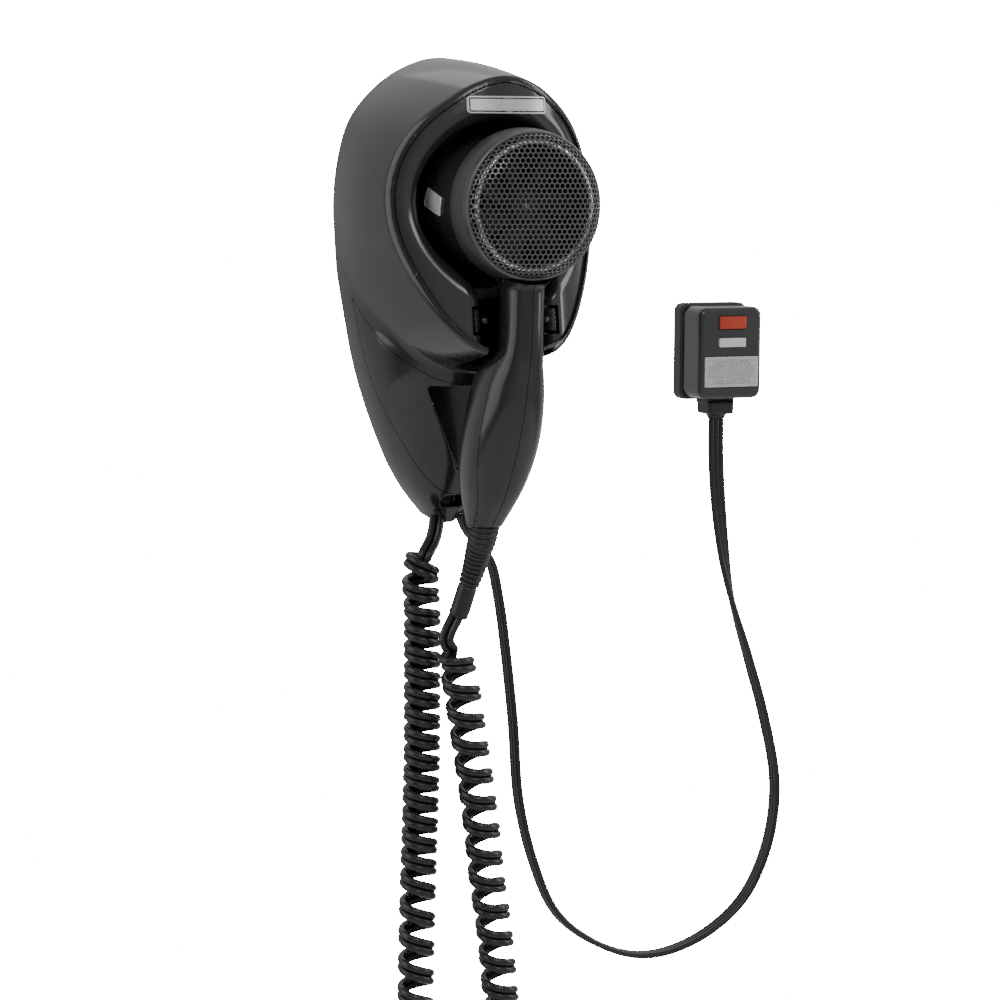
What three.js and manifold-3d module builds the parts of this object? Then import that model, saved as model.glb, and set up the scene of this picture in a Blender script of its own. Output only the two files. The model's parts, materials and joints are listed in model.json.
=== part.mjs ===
// Wall-mounted hair dryer set: a teardrop wall holder, the hard-wired dryer that
// hangs in its cradle, the curly cord between them, and the power lead with its plug.
// Millimetres, +Z up. The wall is the plane y = 0 and everything stands out towards -Y.
// Pieces of the holder, dryer and plug are drawn "from the front": x to the right,
// y up from the barrel axis, z out from the wall. The group that holds them turns
// that drawing upright.
import * as THREE from 'three';
import { mergeVertices } from 'three/addons/utils/BufferGeometryUtils.js';
import Module from 'manifold-3d';

const wasm = await Module();
wasm.setup();

// ---- driving dimensions -------------------------------------------------------

const GAP = 0.3; // between pieces that touch
const BARREL_HEIGHT = 42; // barrel axis above the origin
const WALL = 2.6; // holder shell thickness

// Half outline of the whole holder on the wall, top to bottom (x, y).
const WALL_OUTLINE = [
  [0, 65.5], [22, 59.2], [36.5, 48.4], [45.8, 36.5], [51, 20], [53.3, -2],
  [52.3, -20], [49.6, -42], [44.5, -69], [38.1, -91], [31.1, -109], [21.9, -127],
  [13.1, -138], [6.4, -144.5], [0, -148.5],
];
// Half outline of the drum alone on the wall: its lower end is inside the tail.
const DRUM_OUTLINE = [
  [0, 65.5], [22, 59.2], [36.5, 48.4], [45.8, 36.5], [51, 20], [53.3, -2],
  [52.3, -20], [49.4, -42], [42, -62], [28, -77], [0, -84],
];
// Half outline of the drum's front rim.
const RIM_OUTLINE = [
  [0, 57], [16, 52.8], [26, 46.6], [36.8, 37.5], [45.6, 24.5], [50.4, 9],
  [51, -4], [49.3, -16], [44.3, -31], [37.2, -45], [30.4, -54.8], [23, -62],
  [15, -65.8], [0, -67],
];
// The front face: depth = FRONT_DEPTH - FRONT_CURVE x^2 - FRONT_LEAN y.
const FRONT_DEPTH = 78.5;
const FRONT_CURVE = 0.0102;
const FRONT_LEAN = 0.15;
const RIM_LIP = 1.2; // the rim stands this far above the front face
const RIM_WIDTH = WALL + 0.2;
const FLANK_BULGE = 1.3;

// The tail under the drum: depth of its crest at each height (y, depth).
const TAIL_CREST = [
  [-36, 39], [-48, 46], [-60, 50], [-75, 49], [-82, 47.5], [-90, 43],
  [-105, 36.5], [-118, 31], [-130, 24.5], [-139, 17.5], [-145, 11.5], [-148.5, 7],
];
// Edge of the tail cover seen from the side (y, depth).
const COVER_SIDE = [
  [-43, 11.5], [-52, 19.5], [-61, 28], [-69, 36.5], [-75, 42.5], [-81, 46.5],
  [-84, 70], [-160, 70], [-160, 22], [-146, 21], [-127, 22], [-110, 20.5],
  [-93, 17], [-73, 14],
];

const SCREW_X = -0.5; // locking screw in the tail
const SCREW_Y = -136.8;
const CLAMP_Y = -122;

// Holes in the wall plate for the screws into the wall.
const WALL_SCREWS = [[-30, 28], [30, 28], [-18, -100], [18, -100]];
const WALL_SCREW_R = 2.3;

const BORE_R = 37.2;
const SLOT_HALF = 15.5;
const CRADLE_DEPTH = 44.3; // back of the bezel's bore
const SLOT_FLOOR = 51;
const TROUGH_FLOOR = 24;
const TROUGH = [
  [-24, -82.5], [-5.5, -119], [-3, -122.5], [3, -122.5], [5.5, -119], [24, -82.5],
];

// Dryer barrel, along z.
const BARREL_R = 31.2;
const BARREL_WALL = 2;
const BARREL_BACK = 83.5;
const NOZZLE_TIP = 16;
const COLLAR_R = 34;
const COLLAR_BACK = 81.5;
const COLLAR_FRONT = 97;
const GRILLE_R = 32.4;
const GRILLE_TOP = 106.4;

// Handle sections, top to bottom: y, half width, depth at the wall side, depth at the front.
const HANDLE = [
  [-20, 10.4, 73, 99.4], [-28, 9.5, 74.4, 99], [-34, 9.1, 75.2, 98.3],
  [-50, 8.9, 75.2, 97.8], [-60, 9.2, 75, 97.2], [-65, 9.8, 73.6, 96.6],
  [-68.5, 10.9, 65.5, 96], [-71.5, 12.1, 58.4, 95.3], [-76, 13.5, 55.6, 94.2],
  [-90, 15.6, 51.2, 91], [-106, 16.4, 46.8, 85], [-120, 15.1, 43, 78],
  [-132, 12, 41, 70.6], [-141, 9.2, 42, 62.4], [-146, 7.6, 44, 57],
];
const HANDLE_WALL = 2.2;
const HANDLE_POWER = 2.3;
// Seam between the handle's front halves and its rear cover (y, depth).
const HANDLE_SEAM = [
  [-66.5, 84.5], [-70, 84], [-76, 83], [-90, 79.6], [-106, 75.2], [-120, 70],
  [-132, 64.4], [-141, 57.5], [-150, 50],
];
// The controls sit on a line down the rear cover.
const CONTROL_TOP = [-84, 53.1];
const CONTROL_SLOPE = Math.atan2(5, 18);

// Plug, in the holder's drawing frame.
const PLUG_X = 138.1;
const PLUG_Y = -71.3;
const PLUG_BACK = 6;
const PLUG_STEP = 14;
const PLUG_FRONT = 30.5;
const BLADE_PITCH = 12.7;
const BLADE_WIDTH = 6.35;
const BLADE_Y = -64;

// Cords (world millimetres).
const COIL_R = 8.5;
const STUB_R = 2.9;
const LEAD_R = 3;
const HOLDER_STUB = [
  [-4.5, -9.4, -102.4], [-4.9, -10, -106], [-7, -12, -111], [-11.4, -13.6, -116],
  [-13.8, -14, -120], [-14, -14, -122.8],
];
const COIL_ROUTE = [
  [-14, -14, -123.3], [-14.2, -14, -155], [-14.6, -14, -190], [-15, -14, -225],
  [-15.3, -14, -258], [-15.6, -14, -292], [-15.9, -14, -329], [-15.6, -14.4, -362],
  [-11.5, -15.2, -390], [2.5, -16.6, -405.5], [18, -18.6, -397], [26, -20.6, -373],
  [26, -22.2, -348], [22, -23.5, -325], [16.2, -26, -293], [9.8, -29, -257],
  [4.7, -31.2, -221], [0.4, -33.2, -190], [-4, -34.4, -169.5],
];
const DRYER_STUB = [
  [-5.8, -34.8, -146.4], [-8.4, -34.2, -151.5], [-10, -34.2, -157], [-8.4, -34.4, -163],
  [-5.4, -34.6, -167.8],
];
const LEAD_ROUTE = [
  [8, -8.4, -102.6], [8.6, -9, -107], [12.6, -11, -113.5], [20.6, -11.5, -122], [27, -10, -142],
  [31.8, -8.4, -168], [36.4, -7.4, -201], [40.6, -6.6, -242], [48.6, -6.4, -271],
  [61, -6.4, -296.5], [80, -6.4, -311.5], [107, -6.4, -321], [145, -6.4, -312],
  [163, -6.4, -298], [175, -6.4, -276], [180, -6.6, -246], [173, -7.4, -210],
  [163, -8.6, -180], [151, -10.4, -146], [142.5, -13.6, -107], [138.6, -16.4, -78],
  [138.1, -17, -61.2],
];

// ---- making solids ------------------------------------------------------------

function solid(geometry) {
  const bare = geometry.clone();
  bare.deleteAttribute('normal');
  bare.deleteAttribute('uv');
  const merged = mergeVertices(bare, 1e-4);
  const vertProperties = new Float32Array(merged.attributes.position.array);
  const triVerts = new Uint32Array(merged.index.array);
  const made = new wasm.Manifold(new wasm.Mesh({ numProp: 3, vertProperties, triVerts }));
  if (made.volume() >= 0) return made;
  for (let i = 0; i < triVerts.length; i += 3) {
    [triVerts[i + 1], triVerts[i + 2]] = [triVerts[i + 2], triVerts[i + 1]];
  }
  return new wasm.Manifold(new wasm.Mesh({ numProp: 3, vertProperties, triVerts }));
}

function geometryOf(manifold) {
  const mesh = manifold.getMesh();
  const geometry = new THREE.BufferGeometry();
  geometry.setAttribute('position', new THREE.BufferAttribute(mesh.vertProperties, 3));
  geometry.setIndex(new THREE.BufferAttribute(mesh.triVerts, 1));
  geometry.computeVertexNormals();
  return geometry;
}

function joined(parts) {
  return parts.reduce((whole, part) => whole.add(part));
}

// A flat outline raised from one depth to another.
function prism(points, from, to) {
  const shape = new THREE.Shape(points.map(([x, y]) => new THREE.Vector2(x, y)));
  const options = { depth: to - from, bevelEnabled: false };
  return solid(new THREE.ExtrudeGeometry(shape, options).translate(0, 0, from));
}

// An outline drawn in the (y, depth) side view, cut through from x0 to x1.
function sidePrism(points, x0, x1) {
  const shape = new THREE.Shape(points.map(([y, z]) => new THREE.Vector2(y, z)));
  const geometry = new THREE.ExtrudeGeometry(shape, { depth: x1 - x0, bevelEnabled: false });
  const turn = new THREE.Matrix4().set(0, 0, 1, x0, 1, 0, 0, 0, 0, 1, 0, 0, 0, 0, 0, 1);
  return solid(geometry.applyMatrix4(turn));
}

// A profile of [radius, z] points turned about the z axis.
function turned(profile, segments = 28) {
  const points = profile.map(([r, z]) => new THREE.Vector2(r, z));
  return solid(new THREE.LatheGeometry(points, segments).rotateX(Math.PI / 2));
}

function disc(radius, from, to, x = 0, y = 0, segments = 20) {
  const geometry = new THREE.CylinderGeometry(radius, radius, to - from, segments);
  geometry.rotateX(Math.PI / 2).translate(x, y, (from + to) / 2);
  return solid(geometry);
}

function block(x0, x1, y0, y1, z0, z1) {
  const geometry = new THREE.BoxGeometry(x1 - x0, y1 - y0, z1 - z0);
  return solid(geometry.translate((x0 + x1) / 2, (y0 + y1) / 2, (z0 + z1) / 2));
}

// A box with rounded corners in the front view.
function plate(cx, cy, width, height, corner, from, to) {
  const points = [];
  const steps = 3;
  for (const [sx, sy, start] of [[1, 1, 0], [-1, 1, 1], [-1, -1, 2], [1, -1, 3]]) {
    for (let i = 0; i <= steps; i += 1) {
      const a = (start + i / steps) * Math.PI / 2;
      const x = cx + sx * (width / 2 - corner) + corner * Math.cos(a);
      const y = cy + sy * (height / 2 - corner) + corner * Math.sin(a);
      points.push([x, y]);
    }
  }
  return prism(points, from, to);
}

// A closed skin over rings of equal point count, capped at both ends.
function ringSolid(rings) {
  const count = rings[0].length;
  const vertices = [];
  rings.forEach((ring) => ring.forEach((p) => vertices.push(p.x, p.y, p.z)));
  const index = [];
  for (let i = 0; i < rings.length - 1; i += 1) {
    for (let j = 0; j < count; j += 1) {
      const a = i * count + j;
      const b = i * count + (j + 1) % count;
      index.push(a, b, b + count, a, b + count, a + count);
    }
  }
  const centres = [rings[0], rings[rings.length - 1]].map((ring) => {
    const middle = new THREE.Vector3();
    ring.forEach((p) => middle.add(p));
    middle.divideScalar(count);
    vertices.push(middle.x, middle.y, middle.z);
    return vertices.length / 3 - 1;
  });
  const last = (rings.length - 1) * count;
  for (let j = 0; j < count; j += 1) {
    const k = (j + 1) % count;
    index.push(centres[0], k, j);
    index.push(centres[1], last + j, last + k);
  }
  const geometry = new THREE.BufferGeometry();
  geometry.setAttribute('position', new THREE.Float32BufferAttribute(vertices, 3));
  geometry.setIndex(index);
  return solid(geometry);
}

// A round tube along a curve whose radius changes along the way: stations are [share, radius].
function taperedTube(points, stations, sides) {
  const curve = new THREE.CatmullRomCurve3(points.map((p) => new THREE.Vector3(...p)));
  const rings = stations.map(([share, radius]) => {
    const centre = curve.getPointAt(share);
    const tangent = curve.getTangentAt(share);
    const across = new THREE.Vector3(1, 0, 0);
    across.addScaledVector(tangent, -across.dot(tangent)).normalize();
    const other = new THREE.Vector3().crossVectors(tangent, across);
    const ring = [];
    for (let j = 0; j < sides; j += 1) {
      const a = 2 * Math.PI * j / sides;
      const p = centre.clone().addScaledVector(across, radius * Math.cos(a));
      ring.push(p.addScaledVector(other, radius * Math.sin(a)));
    }
    return ring;
  });
  return ringSolid(rings);
}

// A plain round cord along a route of world points.
function cordSolid(route, radius, sides, steps) {
  const curve = new THREE.CatmullRomCurve3(route.map((p) => new THREE.Vector3(...p)));
  const section = new THREE.Shape();
  for (let j = 0; j < sides; j += 1) {
    const a = 2 * Math.PI * j / sides;
    if (j === 0) section.moveTo(radius, 0);
    else section.lineTo(radius * Math.cos(a), radius * Math.sin(a));
  }
  return solid(new THREE.ExtrudeGeometry(section, { steps, extrudePath: curve }));
}

// ---- outlines -----------------------------------------------------------------

// Both sides of a half outline as one smooth closed curve, sampled finely.
function closedOutline(half) {
  const right = half.map(([x, y]) => new THREE.Vector3(x, y, 0));
  const left = half.slice(1, -1).reverse().map(([x, y]) => new THREE.Vector3(-x, y, 0));
  return new THREE.CatmullRomCurve3([...right, ...left], true).getPoints(720);
}

// Distance from the barrel axis to an outline at each angle.
function radiusFinder(half) {
  const table = closedOutline(half)
    .map((p) => [Math.atan2(p.y, p.x), Math.hypot(p.x, p.y)])
    .sort((a, b) => a[0] - b[0]);
  return (angle) => {
    const a = Math.atan2(Math.sin(angle), Math.cos(angle));
    const next = table.findIndex((row) => row[0] > a);
    const hi = next === -1 ? [table[0][0] + 2 * Math.PI, table[0][1]] : table[next];
    const lo = next > 0 ? table[next - 1] : table[table.length - 1];
    const lowAngle = next === 0 ? lo[0] - 2 * Math.PI : lo[0];
    return lo[1] + (hi[1] - lo[1]) * (a - lowAngle) / (hi[0] - lowAngle);
  };
}

// Straight-line lookup in a list of [y, value] points that runs downwards.
function lookup(list, y) {
  const next = list.findIndex((row) => row[0] <= y);
  if (next === 0) return list[0][1];
  if (next === -1) return list[list.length - 1][1];
  const [y0, v0] = list[next - 1];
  const [y1, v1] = list[next];
  return v0 + (v1 - v0) * (y - y0) / (y1 - y0);
}

const wallHalf = closedOutline(WALL_OUTLINE)
  .filter((p) => p.x >= 0)
  .map((p) => [p.y, p.x])
  .sort((a, b) => b[0] - a[0]);
const drumRadius = radiusFinder(DRUM_OUTLINE);
const rimRadius = radiusFinder(RIM_OUTLINE);

function frontDepth(x, y) {
  return FRONT_DEPTH - FRONT_CURVE * x * x - FRONT_LEAN * y;
}

// Everything behind the front face, or behind that face moved by an offset.
function behindFront(offset) {
  const reach = 70;
  const shape = new THREE.Shape();
  shape.moveTo(-reach, -30);
  shape.lineTo(reach, -30);
  for (let i = 0; i <= 24; i += 1) {
    const x = reach - 2 * reach * i / 24;
    shape.lineTo(x, frontDepth(x, 0) + offset);
  }
  const options = { depth: 250, bevelEnabled: false };
  const geometry = new THREE.ExtrudeGeometry(shape, options);
  geometry.rotateX(Math.PI / 2).translate(0, 90, 0);
  const lean = new THREE.Matrix4().set(1, 0, 0, 0, 0, 1, 0, 0, 0, -FRONT_LEAN, 1, 0, 0, 0, 0, 1);
  return solid(geometry.applyMatrix4(lean));
}

// ---- holder -------------------------------------------------------------------

function drum(inset) {
  const rings = [];
  const around = 40;
  for (const z of [inset ? -1 : 0, 20, 40, 60, 80, 100]) {
    const ring = [];
    for (let j = 0; j < around; j += 1) {
      const angle = 2 * Math.PI * j / around;
      const wallR = drumRadius(angle);
      const rimR = rimRadius(angle);
      const rimZ = frontDepth(rimR * Math.cos(angle), rimR * Math.sin(angle));
      const share = z / rimZ;
      const bulge = FLANK_BULGE * Math.sin(Math.PI * Math.min(Math.max(share, 0), 1));
      const r = wallR + (rimR - wallR) * share + bulge - inset;
      ring.push(new THREE.Vector3(r * Math.cos(angle), r * Math.sin(angle), z));
    }
    rings.push(ring);
  }
  return ringSolid(rings);
}

function tail(inset) {
  const rings = [];
  const top = -36;
  const bottom = inset ? -146 : -148;
  const levels = 12;
  const across = 12;
  for (let i = 0; i <= levels; i += 1) {
    const y = top + (bottom - top) * i / levels;
    const hidden = 0.8 * THREE.MathUtils.smoothstep(y, -56, -40);
    const half = lookup(wallHalf, y) - inset - hidden;
    const depth = lookup(TAIL_CREST, y) - inset;
    const ring = [];
    for (let j = 0; j <= across; j += 1) {
      const a = Math.PI * j / across;
      ring.push(new THREE.Vector3(half * Math.cos(a), y, depth * Math.sin(a)));
    }
    const floor = inset ? -1 : 0;
    ring[0].z = floor;
    ring[across].z = floor;
    rings.push(ring);
  }
  return ringSolid(rings);
}

const outerForm = drum(0).add(tail(0)).intersect(behindFront(RIM_LIP));
const innerForm = drum(WALL).add(tail(WALL));
const holderSkin = outerForm.subtract(innerForm);

// Cord doors in the bottom edge, and the hole over the locking screw.
function bottomOpenings() {
  const coilDoor = block(-8.2, -0.8, -150, -141.6, -1, 14.2);
  const leadDoor = block(4, 12, -150, -141.6, -1, 13.4);
  const screwHole = plate(SCREW_X, -137.3, 11.5, 5.2, 2.5, 9, 40);
  return joined([coilDoor, leadDoor, screwHole]);
}

function neckSlot(margin) {
  const half = SLOT_HALF + margin;
  return block(-half, half, -90, 0, SLOT_FLOOR - margin, 120);
}

function troughCut(margin) {
  const outline = TROUGH.map(([x, y]) => {
    const up = y > -90 ? margin : -margin;
    return [x + Math.sign(x) * margin, y + up];
  });
  return prism(outline, TROUGH_FLOOR - margin, 90);
}

// A closed outline moved outwards by an amount, with mitred corners.
function grown(points, amount) {
  const around = (i) => points[(i + points.length) % points.length];
  const cross = (p, q) => p[0] * q[1] - q[0] * p[1];
  const area = points.reduce((sum, p, i) => sum + cross(p, around(i + 1)), 0);
  const normal = (from, to) => {
    const run = new THREE.Vector2(to[1] - from[1], from[0] - to[0]);
    return run.normalize().multiplyScalar(Math.sign(area));
  };
  return points.map((p, i) => {
    const before = normal(around(i - 1), p);
    const after = normal(p, around(i + 1));
    const scale = amount / (1 + before.dot(after));
    return [p[0] + scale * (before.x + after.x), p[1] + scale * (before.y + after.y)];
  });
}

function holderHousing() {
  const cover = sidePrism(grown(COVER_SIDE, GAP), -70, 70);
  return holderSkin
    .subtract(cover)
    .subtract(neckSlot(2.6 + GAP))
    .subtract(troughCut(2 + GAP))
    .subtract(bottomOpenings());
}

function tailCover() {
  return holderSkin
    .intersect(sidePrism(COVER_SIDE, -70, 70))
    .subtract(neckSlot(2.6 + GAP))
    .subtract(troughCut(2 + GAP))
    .subtract(bottomOpenings());
}

function wallPlate() {
  const inset = WALL + 1;
  const outline = closedOutline(WALL_OUTLINE).slice(0, -1).filter((p, i) => i % 18 === 0);
  const points = outline.map((p, i) => {
    const before = outline[(i + outline.length - 1) % outline.length];
    const after = outline[(i + 1) % outline.length];
    const run = new THREE.Vector2(after.x - before.x, after.y - before.y).normalize();
    return [p.x + inset * run.y, p.y - inset * run.x];
  });
  const holes = WALL_SCREWS.map(([x, y]) => disc(WALL_SCREW_R, -1, 4, x, y, 12));
  const boss = disc(3.4, 2, 8.4, SCREW_X, SCREW_Y, 16);
  const posts = [-10, 10].map((x) => disc(2.5, 2, 14.3, x, CLAMP_Y, 16));
  const bore = disc(1.9, -1, 9, SCREW_X, SCREW_Y, 12);
  return joined([prism(points, 0, 3), boss, ...posts]).subtract(joined([bore, ...holes]));
}

function keyhole(radius, half, bottom) {
  const ring = disc(radius, CRADLE_DEPTH, 110, 0, 0, 36);
  return ring.add(block(-half, half, bottom, 0, CRADLE_DEPTH, 110));
}

function clipWindow(side) {
  const inner = side * (SLOT_HALF - 1);
  const outer = side * (SLOT_HALF + 5.8);
  const [x0, x1] = [Math.min(inner, outer), Math.max(inner, outer)];
  return block(x0, x1, -57.2, -44.4, 60.5, 110);
}

function frontBezel() {
  const around = 40;
  const outline = [];
  for (let j = 0; j < around; j += 1) {
    const angle = 2 * Math.PI * j / around;
    const r = rimRadius(angle) - RIM_WIDTH - GAP;
    outline.push([r * Math.cos(angle), r * Math.sin(angle)]);
  }
  const ring = prism(outline, 20, 110).intersect(behindFront(0)).subtract(behindFront(-2.4));
  const wall = keyhole(BORE_R + 2.2, SLOT_HALF + 2.2, -63.6).intersect(behindFront(0));
  const opening = keyhole(BORE_R, SLOT_HALF, -80);
  const underWall = block(-SLOT_HALF - 2.5, SLOT_HALF + 2.5, -68, -38, 40, SLOT_FLOOR + 1);
  return ring
    .add(wall)
    .subtract(opening)
    .subtract(underWall)
    .subtract(clipWindow(1))
    .subtract(clipWindow(-1));
}

// A springy finger in the side of the neck slot, with a ball that stands into the slot.
function retainingClip(side) {
  const inner = SLOT_HALF + 0.2;
  const finger = block(inner, inner + 3.8, -56.2, -45.4, 61, 110).intersect(behindFront(0));
  const ball = solid(new THREE.SphereGeometry(1.7, 10, 6).translate(SLOT_HALF - 0.4, -50.6, 82.6));
  const right = finger.add(ball);
  if (side > 0) return right;
  return solid(geometryOf(right).applyMatrix4(new THREE.Matrix4().makeScale(-1, 1, 1)));
}

function badgePlate() {
  const outline = plate(0.2, 43.8, 38.6, 7.8, 1.2, 40, 100);
  return outline.intersect(behindFront(1.1)).subtract(behindFront(GAP));
}

function cradleCup() {
  return turned([
    [32, 3.3], [33.6, 38], [38.4, 43.9], [43.4, 43.9], [43.4, 41.9], [39.6, 41.9],
    [35.8, 37.4], [34.2, 3.3], [32, 3.3],
  ]);
}

// Lines the recess behind the handle.
function handleTrough() {
  const outer = troughCut(2 - GAP / 2).intersect(tail(WALL + GAP).add(tail(0)));
  const form = outer.subtract(troughCut(0));
  return form.subtract(block(-40, 40, -79.5, -60, 0, 120));
}

function terminalBlock() {
  const body = block(-13, 13, -98, -90, 3.4, 13);
  const wells = [-8.5, 0, 8.5].map((x) => disc(1.9, 8.5, 14, x, -94, 12));
  return body.subtract(joined(wells));
}

function cordClamp() {
  const bar = block(-12.5, 12.5, CLAMP_Y - 3, CLAMP_Y + 3, 14.6, 17);
  return bar.subtract(disc(1.8, 10, 20, 0, CLAMP_Y, 12));
}

// A rubber block that fills a cord door and holds the cord.
function cordGrommet(x0, x1, front) {
  return block(x0, x1, -143.9, -141.9, 3.4, front);
}

function lockScrew() {
  const head = disc(3, 8.8, 11, SCREW_X, SCREW_Y, 16);
  const shank = disc(1.5, 0.5, 9, SCREW_X, SCREW_Y, 12);
  return head.add(shank).subtract(block(-5, 5, SCREW_Y - 0.4, SCREW_Y + 0.4, 10, 12));
}

// ---- dryer --------------------------------------------------------------------

function handleForm(inset, bottomY) {
  const sides = 20;
  const rows = HANDLE.map(([y, half, rear, front], i) => {
    const level = i === HANDLE.length - 1 ? bottomY : y;
    return [level, half - inset, rear + inset, front - inset];
  });
  const rings = rows.map(([y, half, rear, front]) => {
    const ring = [];
    for (let j = 0; j < sides; j += 1) {
      const a = 2 * Math.PI * j / sides;
      const cos = Math.sign(Math.cos(a)) * Math.abs(Math.cos(a)) ** (2 / HANDLE_POWER);
      const sin = Math.sign(Math.sin(a)) * Math.abs(Math.sin(a)) ** (2 / HANDLE_POWER);
      const x = half * cos;
      const z = (rear + front) / 2 + (front - rear) / 2 * sin;
      ring.push(new THREE.Vector3(x, y, z));
    }
    return ring;
  });
  return ringSolid(rings);
}

const handleOuter = handleForm(0, -146);
const handleInner = handleForm(HANDLE_WALL, -147);

function barrelForm(inset) {
  return turned([
    [0, NOZZLE_TIP - inset], [25 - inset, NOZZLE_TIP - inset], [25.8 - inset, 24], [30.2 - inset, 42],
    [31 - inset, 52], [BARREL_R - inset, 62], [BARREL_R - inset, BARREL_BACK + inset],
    [0, BARREL_BACK + inset],
  ]);
}

function dryerShell() {
  const collarRoom = disc(COLLAR_R + GAP, COLLAR_BACK - GAP, 110, 0, 0, 32);
  const hollow = barrelForm(BARREL_WALL);
  const barrel = barrelForm(0).subtract(hollow).intersect(block(-40, 40, -40, 40, 0, 82));
  const neck = handleOuter.subtract(collarRoom).subtract(handleInner).subtract(hollow);
  const lipHole = disc(BARREL_R - 2, 60, 90, 0, 0, 28);
  const lip = disc(BARREL_R - 0.6, 81, BARREL_BACK, 0, 0, 28).subtract(lipHole);
  return barrel.subtract(handleInner).add(neck).add(lip);
}

const dryerSkin = dryerShell();
const rearSide = [...HANDLE_SEAM, [-150, 20], [-66.5, 20]];

function bodyHalf(side) {
  const [x0, x1] = side > 0 ? [GAP / 2, 80] : [-80, -GAP / 2];
  const half = block(x0, x1, -160, 80, 0, 120);
  return dryerSkin.intersect(half).subtract(sidePrism(grown(rearSide, GAP), -40, 40));
}

// A point down the rear cover's control line, and the turn of the line.
function onControlLine(geometry, along, lift) {
  const y = CONTROL_TOP[0] - along * Math.cos(CONTROL_SLOPE);
  const z = CONTROL_TOP[1] - along * Math.sin(CONTROL_SLOPE);
  const out = [Math.sin(CONTROL_SLOPE), -Math.cos(CONTROL_SLOPE)];
  geometry.rotateX(CONTROL_SLOPE);
  return geometry.translate(0, y + out[0] * lift, z + out[1] * lift);
}

function controlBox(width, length, thick, along, lift) {
  return solid(onControlLine(new THREE.BoxGeometry(width, length, thick), along, lift));
}

function coolButtonSolid(radius, thick, lift) {
  const geometry = new THREE.CylinderGeometry(radius, radius, thick, 16).rotateX(Math.PI / 2);
  return solid(onControlLine(geometry, 36, lift));
}

function handleRearCover() {
  return dryerSkin
    .intersect(sidePrism(rearSide, -40, 40))
    .subtract(controlBox(8, 16.6, 12, 0, 0))
    .subtract(controlBox(8, 16.6, 12, 19, 0))
    .subtract(coolButtonSolid(4.3, 14, 0));
}

function slider(along) {
  const stem = controlBox(7.2, 7.4, 5.4, along, -1.2);
  const ridges = [-2.2, 0, 2.2].map((step) => controlBox(7.2, 0.9, 1, along + step, 1.8));
  return stem.add(joined(ridges));
}

function coolButton() {
  return coolButtonSolid(3.9, 7, 0);
}

function rearCollar() {
  return turned([
    [31.5, COLLAR_BACK], [31.5, 95], [29.4, 95], [29.4, COLLAR_FRONT], [GRILLE_R, COLLAR_FRONT],
    [33.2, 95.4], [COLLAR_R, 90], [COLLAR_R, 83], [33.4, COLLAR_BACK], [31.5, COLLAR_BACK],
  ]);
}

function intakeGrille() {
  const start = COLLAR_FRONT + GAP;
  const wall = 0.9;
  return turned([
    [GRILLE_R, start], [GRILLE_R, 99.2], [31.2, 102], [28.6, 104.4], [22, 105.9],
    [0, GRILLE_TOP], [0, GRILLE_TOP - wall], [22, 105.9 - wall],
    [28, 103.8], [30.4, 101.6], [GRILLE_R - wall, 99], [GRILLE_R - wall, start], [GRILLE_R, start],
  ]);
}

function grilleLiner() {
  return turned([
    [26.4, 93], [29.1, 93], [29.1, 98.4], [27.4, 99.6], [26.4, 98.4], [26.4, 93],
  ]);
}

function outletGrille() {
  const ring = disc(22.8, 17, 19.4, 0, 0, 28).subtract(disc(20.8, 10, 24, 0, 0, 28));
  const bars = [-15, -9, -3, 3, 9, 15].map((x) => {
    const half = Math.sqrt(21.6 ** 2 - x * x);
    return block(x - 0.6, x + 0.6, -half, half, 17.2, 19.2);
  });
  const cross = block(-21.6, 21.6, -0.6, 0.6, 17.2, 19.2);
  return joined([ring, ...bars, cross]);
}

function motorCan() {
  return turned([[0, 54], [11, 54], [13.6, 55.2], [13.6, 75.8], [12, 77], [0, 77]], 24);
}

function motorMount() {
  const rim = disc(28.9, 60, 68, 0, 0, 28).subtract(disc(27.3, 50, 80, 0, 0, 28));
  const hub = disc(15.8, 60, 68, 0, 0, 24);
  const vanes = [];
  for (let i = 0; i < 5; i += 1) {
    const geometry = new THREE.BoxGeometry(13.6, 1.2, 7).translate(21.4, 0, 64);
    vanes.push(solid(geometry.rotateZ(2 * Math.PI * i / 5 + 0.3)));
  }
  return joined([rim, hub, ...vanes]).subtract(disc(13.9, 50, 80, 0, 0, 24));
}

function fanShaft() {
  return disc(1.2, 77.3, 91, 0, 0, 12);
}

function fanImpeller() {
  const hub = turned([[1.5, 79], [8.6, 79], [8.6, 87], [6.4, 89.6], [1.5, 90.4], [1.5, 79]], 20);
  const blades = [];
  for (let i = 0; i < 7; i += 1) {
    const geometry = new THREE.BoxGeometry(19, 11, 1.2).rotateX(0.55).translate(17.4, 0, 84);
    blades.push(solid(geometry.rotateZ(2 * Math.PI * i / 7)));
  }
  return joined([hub, ...blades]).intersect(disc(26.6, 78, 92, 0, 0, 28));
}

function heaterFrame() {
  const boards = [0, 1].map((turn) => {
    const geometry = new THREE.BoxGeometry(41, 0.8, 26).translate(0, 0, 36);
    return solid(geometry.rotateZ(turn * Math.PI / 2));
  });
  return joined(boards);
}

function heaterCoil() {
  class Winding extends THREE.Curve {
    getPoint(t, target = new THREE.Vector3()) {
      const angle = 2 * Math.PI * 4 * t;
      return target.set(22.4 * Math.cos(angle), 22.4 * Math.sin(angle), 27 + 18 * t);
    }
  }
  const section = new THREE.Shape();
  for (let j = 0; j < 5; j += 1) {
    const a = 2 * Math.PI * j / 5;
    if (j === 0) section.moveTo(0.8, 0);
    else section.lineTo(0.8 * Math.cos(a), 0.8 * Math.sin(a));
  }
  return solid(new THREE.ExtrudeGeometry(section, { steps: 48, extrudePath: new Winding() }));
}

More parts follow.
